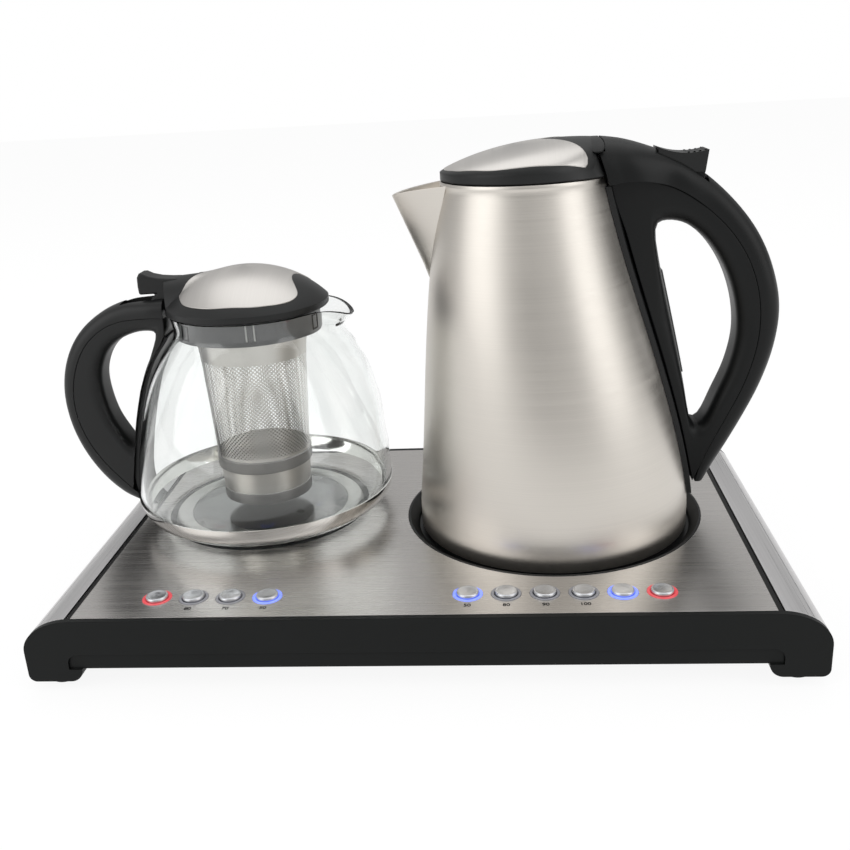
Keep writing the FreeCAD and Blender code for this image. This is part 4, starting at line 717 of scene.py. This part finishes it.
def cover(name, middle, half_outline, height, finish, body, stands_for=(), lift=0.25):
    """A thin sheet over a lid, from half of its outline; the other half mirrors it."""
    half = curve_through(half_outline, 70)
    outline = half + [(x, -y) for x, y in reversed(half[1:-1])]
    start = (sum(p[0] for p in half) / len(half), 0.0)
    rings = []
    for i in range(1, 31):
        f = 1 - (1 - i / 30) ** 1.9
        ring = []
        for x, y in outline:
            px, py = start[0] + f * (x - start[0]), f * y
            out = 1 + 0.8 * lift / max(10.0, math.hypot(px, py))
            z = height(middle[0] + px, middle[1] + py) + lift
            ring.append((middle[0] + out * px, middle[1] + out * py, z))
        rings.append(ring)
    rings.append([(middle[0] + x, middle[1] + y, height(middle[0] + x, middle[1] + y) - 0.5)
                  for x, y in outline])
    return make_piece(name, rings, finish, body, caps=(True, True), stands_for=stands_for)


LID_R, LID_EDGE_TOP, LID_FOOT = 43.4, 234.0, 230.0
RIDGE_X, RIDGE_REACH = 84.2, 106.0


def kettle_lid_height(x, y):
    ridge = 188.6 + 60.0 * math.sqrt(max(0.0, 1 - ((x - RIDGE_X) / RIDGE_REACH) ** 2))
    v = min(1.0, abs(y - KETTLE_Y) / math.sqrt(max(0.01, LID_R ** 2 - (x - RIM_X) ** 2)))
    return LID_EDGE_TOP + max(0.0, ridge - LID_EDGE_TOP) * (1 - v ** 2.3) ** (1 / 1.8)


def seam_cut(reach, corner=0.0):
    """The lid's reach at an angle: its round rim, cut straight where the handle starts."""
    def at(a):
        turn = abs((a + math.pi) % (2 * math.pi) - math.pi)
        round_rim = LID_R + corner * between(turn, [(0.55, 1.0), (1.15, 0.0)])
        return min(round_rim, reach / math.cos(turn)) if turn < 1.2 else round_rim
    return at


cap("kettle_lid_top", (RIM_X, KETTLE_Y), kettle_lid_height, seam_cut(35.2), seam_cut(40.9, 3.0), LID_FOOT,
    SATIN_BLACK, "kettle_lid", stands_for=["kettle_lid_cap"])
rings = []
for k in range(45):
    y = KETTLE_Y - 22.0 + k
    rings.append([(x, y, min(z, kettle_lid_height(min(x, 93.0), y) - 0.1))
                  for x, z in disc_line(HINGE_X, HINGE_Z, KNUCKLE_R)])
make_piece("kettle_lid_knuckle", rings, KETTLE_BLACK, "kettle_lid", caps=(True, True))
bar("kettle_lid_pin", disc_line(HINGE_X, HINGE_Z, PIN_R), 12.0, KETTLE_Y, PLAIN_STEEL, "kettle",
    stands_for=["kettle_hinge_pin"])
KETTLE_COVER = [(-41.2, 0.0), (-40.0, -9.5), (-36.6, -18.6), (-30.6, -27.4), (-18.1, -37.2), (-5.0, -40.7),
                (10.0, -40.0), (21.0, -36.6), (28.6, -32.2), (31.4, -28.8), (30.2, -25.4), (24.4, -18.6),
                (16.4, -9.2), (9.0, 0.0)]
cover("kettle_lid_cover", (RIM_X, KETTLE_Y), KETTLE_COVER, kettle_lid_height, LID_STEEL, "kettle_lid",
      stands_for=["kettle_lid_inlay"])
print("kettle lid: cap, knuckle, pin and cover")

# %% [markdown]
# The glass jug is turned like a vase, but the turned rings bulge towards the
# kettle near the rim. The bulge makes the pouring lip, and its top edge dips.

# %% The teapot's glass
POT_X, POT_Y, POT_FOOT = -98.0, 21.9, 39.7
GLASS_T, GLASS_RIM = 2.2, 122.9
GLASS_LINE = [(54.0, 0.0), (66.4, 4.6), (73.4, 13.0), (75.0, 22.0), (73.4, 38.0), (68.4, 60.5),
              (61.6, 82.5), (53.0, 98.4), (46.6, 107.0), (43.4, 113.0), (44.6, GLASS_RIM)]
BULGE = [(30.0, 0.0), (40.0, 1.5), (72.0, 5.5), (94.5, 7.7), (106.0, 9.4), (113.0, 10.5), (118.0, 13.5),
         (GLASS_RIM, 15.6)]


def jug_ring(r, z, wall, count=144):
    lift = between(z, BULGE)
    near_rim = between(z, [(110.6, 0.0), (GLASS_RIM, 1.0)])
    ring = []
    for k in range(count):
        a = 2 * math.pi * k / count
        turn = min(a, 2 * math.pi - a)
        lobe = math.exp(-(turn / between(z, [(30.0, 0.3), (100.0, 0.36), (GLASS_RIM, 0.42)])) ** 2)
        reach = r - wall + (lift - (0.2 if wall else 0.0)) * lobe
        dip = 4.6 * near_rim * lobe ** 2
        crest = 1.3 * near_rim * lobe * (1 - lobe) * 4
        ring.append((POT_X + reach * math.cos(a), POT_Y + reach * math.sin(a), POT_FOOT + z - dip + crest))
    return ring


outside = curve_through(GLASS_LINE, 56)
foot = [(8.0, 0.6), (30.0, 0.5), (46.0, 0.4)]
rings = [jug_ring(r, z, 0.0) for r, z in foot + outside]
rings.append(jug_ring(43.8, 123.2, 0.0))
rings += [jug_ring(r, z, GLASS_T) for r, z in reversed(outside[4:])]
rings += [jug_ring(r, 3.0, 0.0) for r in (60.0, 46.0, 30.0, 8.0)]
make_piece("teapot_jug", rings, CLEAR_GLASS, "teapot", caps=(True, True), stands_for=["teapot_glass"])
print("jug rings:", len(rings))

# %% [markdown]
# The teapot's handle repeats the kettle's at a smaller size. Its shell is
# split by a slot at the top, where the lid's thumb tab swings.

# %% The teapot's handle


POT_HINGE = (-150.0, 166.7)
POT_OUTER = [(-144.8, 171.6), (-158.3, 170.9), (-168.3, 169.9), (-181.0, 165.6), (-193.6, 157.4),
             (-202.8, 147.4), (-209.4, 134.9), (-212.9, 121.3), (-213.4, 107.6), (-211.0, 92.1),
             (-205.2, 76.4), (-196.2, 62.0), (-185.7, 51.8), (-176.4, 47.4)]
POT_SEAM = [(-144.8, 161.0), (-154.5, 161.3), (-170.2, 159.9), (-182.4, 155.4), (-193.1, 146.6),
            (-200.6, 134.4), (-204.9, 120.1), (-205.5, 105.1), (-201.7, 89.7), (-194.6, 75.9),
            (-185.7, 64.4), (-175.6, 53.6)]
SLOT_R, SLOT_DROP, SLOT_HALF = 21.0, 7.0, 6.7
pot_shell = crown("teapot_grip_shell", POT_OUTER, POT_SEAM,
                  lambda x: between(x, [(-176.0, 11.0), (-150.0, 12.5)]),
                  lambda x: between(x, [(-190.0, 2.5), (-150.0, 3.0)]), POT_Y, SATIN_BLACK, "teapot",
                  stands_for=["teapot_handle_outer"])
slot_floor = POT_HINGE[1] - SLOT_DROP
slot = [(x, max(z, slot_floor)) for x, z in disc_line(*POT_HINGE, SLOT_R, 64) if x < POT_HINGE[0]]
slot = slot + [(-136.0, slot_floor), (-136.0, POT_HINGE[1] + SLOT_R)]
carve(pot_shell, prism(slot, POT_Y - SLOT_HALF, POT_Y + SLOT_HALF))

POT_HOLE = curve_through([(-152.4, 150.6), (-154.6, 152.4), (-163.3, 152.2), (-174.0, 148.3),
                          (-182.4, 141.0), (-187.6, 129.8), (-188.4, 117.9), (-185.8, 102.7),
                          (-180.2, 90.3), (-175.6, 83.6), (-173.4, 84.4), (-171.8, 96.2), (-167.3, 112.7),
                          (-161.2, 128.9), (-154.7, 143.3), (-152.6, 148.4)], 110)
seam = curve_through(POT_SEAM, 60)
glass_side = [(POT_X - r - 3.2, POT_FOOT + z)
              for r, z in curve_through(GLASS_LINE[1:10], 40) if 13.0 < z < 112.0]
ring_block("teapot_grip_inner", POT_HOLE, seam + glass_side, 11.0, POT_Y, SATIN_BLACK, "teapot",
           stands_for=["teapot_handle_inner"], inside=7.5)
print("teapot handle: shell with its slot, and inner half")

# %% [markdown]
# The teapot's lid is a round dome with a neck that rises on its left towards
# the thumb tab. The two heights are blended so that one flows into the other.

# %% The teapot's lid
POT_LID_R, POT_LID_FOOT = 45.9, 163.6
POT_DOME_R, POT_DOME_MIDDLE = 63.5, 123.4
NECK_TOP, NECK_SLOPE, NECK_HALF, NECK_BLEND = 182.3, 0.09, 13.0, 3.0


def pot_lid_height(x, y):
    dx, dy = x - POT_X, y - POT_Y
    dome = POT_DOME_MIDDLE + math.sqrt(POT_DOME_R ** 2 - min(46.0, math.hypot(dx, dy)) ** 2)
    neck = NECK_TOP + (x + 139.0) * NECK_SLOPE - 7.0 * (abs(dy) / NECK_HALF) ** 2.6
    if dx > -8.0:
        return dome
    share = max(0.0, min(1.0, 0.5 + (dome - neck) / NECK_BLEND))
    return neck + (dome - neck) * share + 1.5 * share * (1 - share)


cap("teapot_lid_top", (POT_X, POT_Y), pot_lid_height, lambda a: POT_LID_R, lambda a: POT_LID_R,
    POT_LID_FOOT, SATIN_BLACK, "teapot_lid", stands_for=["teapot_lid_shell"])
POT_COVER = [(-23.0, 0.0), (-27.2, -4.7), (-31.4, -10.2), (-33.4, -15.0), (-33.0, -19.6), (-28.2, -29.4),
             (-19.5, -36.4), (-7.7, -40.4), (9.2, -40.2), (21.5, -35.6), (29.3, -29.4), (32.6, -23.6),
             (32.9, -19.2), (30.8, -14.2), (28.5, -9.0), (27.5, -4.0), (27.3, 0.0)]
cover("teapot_lid_cover", (POT_X, POT_Y), POT_COVER, pot_lid_height, LID_STEEL, "teapot_lid",
      stands_for=["teapot_lid_inlay"])
TAB = [(-158.9, 173.6), (-159.2, 178.0), (-158.9, 183.4), (-157.6, 185.6), (-155.6, 185.6), (-152.3, 184.0),
       (-147.0, 182.8), (-141.0, 182.3), (-135.0, 182.2), (-135.0, 168.0), (-146.0, 163.2), (-150.0, 162.8),
       (-153.0, 164.4), (-153.9, 167.0), (-152.8, 170.0), (-149.6, 173.8)]
tab = bar("teapot_lid_tab", TAB, 6.0, POT_Y, SATIN_BLACK, "teapot_lid")
edges = tab.modifiers.new("edges", "BEVEL")
edges.width = 0.0011
edges.segments = 3
edges.limit_method = "ANGLE"
edges.angle_limit = math.radians(60)
print("teapot lid: cap, cover and tab")

# %% [markdown]
# A half-clear collar hangs in the jug's neck and carries the infuser, a
# tapered steel cup. Small frames and clips on the collar hold the cup. The
# cup is turned here so that its wall has an even map for the punched holes.
# A hoop and a band at the foot stiffen it, and a seam closes its sheet.

# %% The infuser


def patch(name, turn, wide, z0, z1, r0, r1, finish):
    """A small curved block on the collar, turned by some degrees from the front."""
    rings = []
    for k in range(5):
        a = math.radians(-90.0 + turn) + (k / 4 - 0.5) * wide / r1
        rings.append([(POT_X + r * math.cos(a), POT_Y + r * math.sin(a), z)
                      for r, z in ((r0, z0), (r1, z0), (r1, z1), (r0, z1))])
    return make_piece(name, rings, finish, "teapot", caps=(True, True))


collar = [(38.6, 149.8), (40.2, 149.8), (40.4, 150.0), (40.4, 162.5), (43.4, 162.5), (43.6, 162.8),
          (43.4, 163.2), (38.6, 163.2)]
web = [(30.6, 149.8), (39.0, 149.8), (39.0, 150.9), (30.6, 150.9)]
turned("infuser_ring", collar, POT_X, POT_Y, SMOKE_PLASTIC, "teapot", stands_for=["infuser_collar"],
       around=True)
turned("infuser_web", web, POT_X, POT_Y, SMOKE_PLASTIC, "teapot", around=True)
for i, turn in enumerate((-45.0, 75.0, 195.0)):
    for j, (shift, wide, z0, z1) in enumerate(((-4.2, 0.7, 152.0, 160.6), (4.2, 0.7, 152.0, 160.6),
                                               (0.0, 6.6, 152.0, 152.7), (0.0, 6.6, 159.9, 160.6))):
        patch("collar_frame_%d_%d" % (i, j), turn + shift, wide, z0, z1, 40.2, 40.75, DULL_BLACK)
for i, turn in enumerate((13.5, 133.5, 253.5)):
    for j, shift in enumerate((-3.0, 3.0)):
        patch("collar_clip_%d_%d" % (i, j), turn + shift, 0.9, 153.0, 162.0, 40.2, 40.9, SILICONE)

CUP_FOOT, CUP_RISE, CUP_SPREAD = 50.9, 100.0, 5.4
cup = [(0.5, 50.8), (25.0, 50.8)]
for k in range(25):
    z = CUP_FOOT + CUP_RISE * k / 24
    cup.append((25.5 + CUP_SPREAD * k / 24 + (0.8 if 72.0 < z < 80.0 else 0.0), z))
turned("infuser_cup", cup, POT_X, POT_Y, PUNCHED_STEEL, "teapot", stands_for=["infuser_basket"])
HOOP_STEEL = brushed_steel("hoop_steel", (0.3, 0.29, 0.28), (60.0, 60.0, 500.0), rough=0.4, across=0.2)
for name, band in (("infuser_hoop", [(27.2, 70.5), (27.9, 71.0), (28.0, 77.5), (27.4, 78.0)]),
                   ("infuser_foot", [(25.2, 50.9), (26.0, 51.2), (26.2, 57.5), (25.6, 58.0)])):
    turned(name, band, POT_X, POT_Y, HOOP_STEEL, "teapot")
rings = []
for k in range(13):
    z = 78.0 + 71.5 * k / 12
    r = 25.7 + CUP_SPREAD * (z - CUP_FOOT) / CUP_RISE
    rings.append([(POT_X + (r + out) * math.cos(a), POT_Y + (r + out) * math.sin(a), z)
                  for a, out in ((-2.62, 0.1), (-2.62, 0.6), (-2.50, 0.6), (-2.50, 0.1))])
make_piece("infuser_seam", rings, HOOP_STEEL, "teapot", caps=(True, True))
print("cup outline points:", len(cup))

# %% [markdown]
# Each button cap is a shallow dish on a stem. The rim of the dish catches a
# bright line, and the turning marks run round it.

# %% Button caps
BUTTON_R, STEM_R, CAP_DEPTH = 5.6, 1.6, 6.0
for name in sorted(NODES):
    if not name.startswith("button_"):
        continue
    low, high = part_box(name)
    middle = (Vector(low) + Vector(high)) / 2 - MIDDLE
    x, y = middle.x * 1000.0, middle.y * 1000.0
    foot, top = (low[2]) * 1000.0, (high[2]) * 1000.0
    dish = [(0.2, top - 0.5), (1.5, top - 0.48), (3.0, top - 0.38), (4.3, top - 0.12), (4.8, top),
            (5.15, top - 0.05), (5.5, top - 0.4), (BUTTON_R, top - 0.8), (BUTTON_R, top - CAP_DEPTH),
            (STEM_R, top - CAP_DEPTH), (STEM_R, foot), (0.2, foot)]
    button = turned(name + "_cap", dish, x, y, SPUN_STEEL, name, count=48, stands_for=[name])
    reach = button.data.attributes.new("reach", "FLOAT", "POINT")
    for vertex in button.data.vertices:
        flat = vertex.co - spot(x, y, 0)
        reach.data[vertex.index].value = math.hypot(flat.x, flat.y) / (BUTTON_R * 0.001)
print("caps made:", sum(1 for n in NODES if n.startswith("button_")))

# %% [markdown]
# Plain numbers stand in front of seven buttons, as marks on a dial would.
# Each is a flat mesh made from Blender's own letters.

# %% Numbers on the plate
INK = moulding("dark_ink", (0.008, 0.008, 0.009), 0.7, grain=0.1, edge=0.00005, Specular_IOR_Level=0.1)
PITCH, LEFT_X, RIGHT_X, BUTTON_Y, LABEL_DROP = 19.05, -133.0, 25.4, -90.2, 12.2
LABELS = [("80", LEFT_X + PITCH), ("70", LEFT_X + 2 * PITCH), ("50", LEFT_X + 3 * PITCH),
          ("50", RIGHT_X), ("80", RIGHT_X + PITCH), ("90", RIGHT_X + 2 * PITCH), ("100", RIGHT_X + 3 * PITCH)]
for i, (text, x) in enumerate(LABELS):
    letters = bpy.data.curves.new("number_%d" % i, "FONT")
    letters.body = text
    letters.size = 0.0036
    letters.offset = 0.00007
    letters.align_x = "CENTER"
    letters.extrude = 0.00003
    source = bpy.data.objects.new("number_source", letters)
    bpy.context.scene.collection.objects.link(source)
    graph = bpy.context.evaluated_depsgraph_get()
    mesh = bpy.data.meshes.new_from_object(source.evaluated_get(graph))
    bpy.data.objects.remove(source)
    mesh.transform(Matrix.Translation(spot(x, BUTTON_Y - LABEL_DROP, PLATE_TOP + 0.03)))
    mesh.materials.clear()
    mesh.materials.append(INK)
    mark = bpy.data.objects.new("number_%d" % i, mesh)
    bpy.context.scene.collection.objects.link(mark)
    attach(mark, "base")
print("numbers:", [text for text, x in LABELS])

# %% [markdown]
# A pale floor and soft lamps show the tea maker as a studio would. The floor
# is almost white to the camera, and to anything that mirrors it or lets it
# through, and keeps a soft shadow. The world is white to the camera and
# through glass; to steel it is a room with paler and darker walls.

# %% Floor and world
FLOOR_WHITE, FLOOR_SHARE = 1.03, 0.88


def floor_finish():
    material, tree, shader = start_finish("floor", (0.86, 0.86, 0.86), 0.9)
    path = add(tree, "LightPath")
    white = add(tree, "Emission", {"Color": (1.0, 1.0, 1.0, 1.0), "Strength": FLOOR_WHITE})
    seen = add(tree, "Math", {0: path.outputs["Is Camera Ray"], 1: path.outputs["Is Transmission Ray"]},
               operation="MAXIMUM").outputs[0]
    seen = add(tree, "Math", {0: seen, 1: path.outputs["Is Glossy Ray"]}, operation="MAXIMUM").outputs[0]
    part = add(tree, "Math", {0: seen, 1: FLOOR_SHARE}, operation="MULTIPLY").outputs[0]
    mix = add(tree, "MixShader", {0: part, 1: shader.outputs[0], 2: white.outputs[0]})
    tree.links.new(mix.outputs[0], tree.nodes["Material Output"].inputs["Surface"])
    return material


floor_mesh = bpy.data.meshes.new("floor")
floor_corners = [(x, y, -0.0002) for x, y in ((-6, -6), (6, -6), (6, 6), (-6, 6))]
floor_mesh.from_pydata(floor_corners, [], [(0, 1, 2, 3)])
floor_mesh.materials.append(floor_finish())
floor = bpy.data.objects.new("floor", floor_mesh)
bpy.context.scene.collection.objects.link(floor)

world = bpy.data.worlds.new("studio")
bpy.context.scene.world = world
world.use_nodes = True
sky = world.node_tree
back = sky.nodes["Background"]
path = add(sky, "LightPath")
direction = add(sky, "TexCoord").outputs["Generated"]
split = add(sky, "SeparateXYZ", {"Vector": direction})
height = ramp(sky, split.outputs["Z"], 0.5, 0.85, at=(0.0, 0.75))
around = add(sky, "Math", {0: split.outputs["Y"], 1: split.outputs["X"]}, operation="ARCTAN2").outputs[0]
turned_by = add(sky, "Math", {0: around, 1: 1 / (2 * math.pi), 2: 0.5}, operation="MULTIPLY_ADD").outputs[0]
WALLS = [(0.03, 0.3), (0.08, 0.9), (0.21, 0.85), (0.235, 0.45), (0.27, 0.95), (0.4, 1.0), (0.5, 0.8)]
bands = add(sky, "ValToRGB", {"Fac": turned_by})
stops = bands.color_ramp.elements
stops[0].position, stops[1].position = 0.0, 1.0
for turn, shade in WALLS:
    stops.new(turn).color = (shade, shade, shade, 1.0)
stops[0].color = stops[len(stops) - 1].color = (0.8, 0.8, 0.8, 1.0)
room = add(sky, "Mix", {"Factor": 1.0, "A": height, "B": bands.outputs["Color"]}, data_type="RGBA",
           blend_type="MULTIPLY").outputs["Result"]
clear = add(sky, "Math", {0: path.outputs["Is Camera Ray"], 1: path.outputs["Is Transmission Ray"]},
            operation="MAXIMUM").outputs[0]
colour = add(sky, "Mix", {"Factor": clear, "A": room, "B": (1.0, 1.0, 1.0, 1.0)}, data_type="RGBA")
sky.links.new(colour.outputs["Result"], back.inputs["Color"])
back.inputs["Strength"].default_value = 1.0
print("floor and world ready")

# %% [markdown]
# Two large soft lamps stand left and right, and one hangs above. They draw
# the broad bright bands on the kettle.

# %% Lamps


def soft_lamp(name, place, aim, width, height, power):
    data = bpy.data.lights.new(name, "AREA")
    data.shape = "RECTANGLE"
    data.size = width
    data.size_y = height
    data.energy = power
    lamp = bpy.data.objects.new(name, data)
    lamp.location = place
    lamp.rotation_euler = (Vector(aim) - Vector(place)).to_track_quat("-Z", "Y").to_euler()
    bpy.context.scene.collection.objects.link(lamp)
    return lamp


soft_lamp("lamp_left", (-1.7, -1.1, 1.0), (0, 0, 0.1), 1.9, 1.9, 17.0)
soft_lamp("lamp_right", (1.8, -0.7, 1.0), (0, 0, 0.1), 1.3, 1.9, 11.0)
soft_lamp("lamp_top", (0.0, 0.5, 2.1), (0, 0, 0.1), 2.4, 2.0, 13.0)
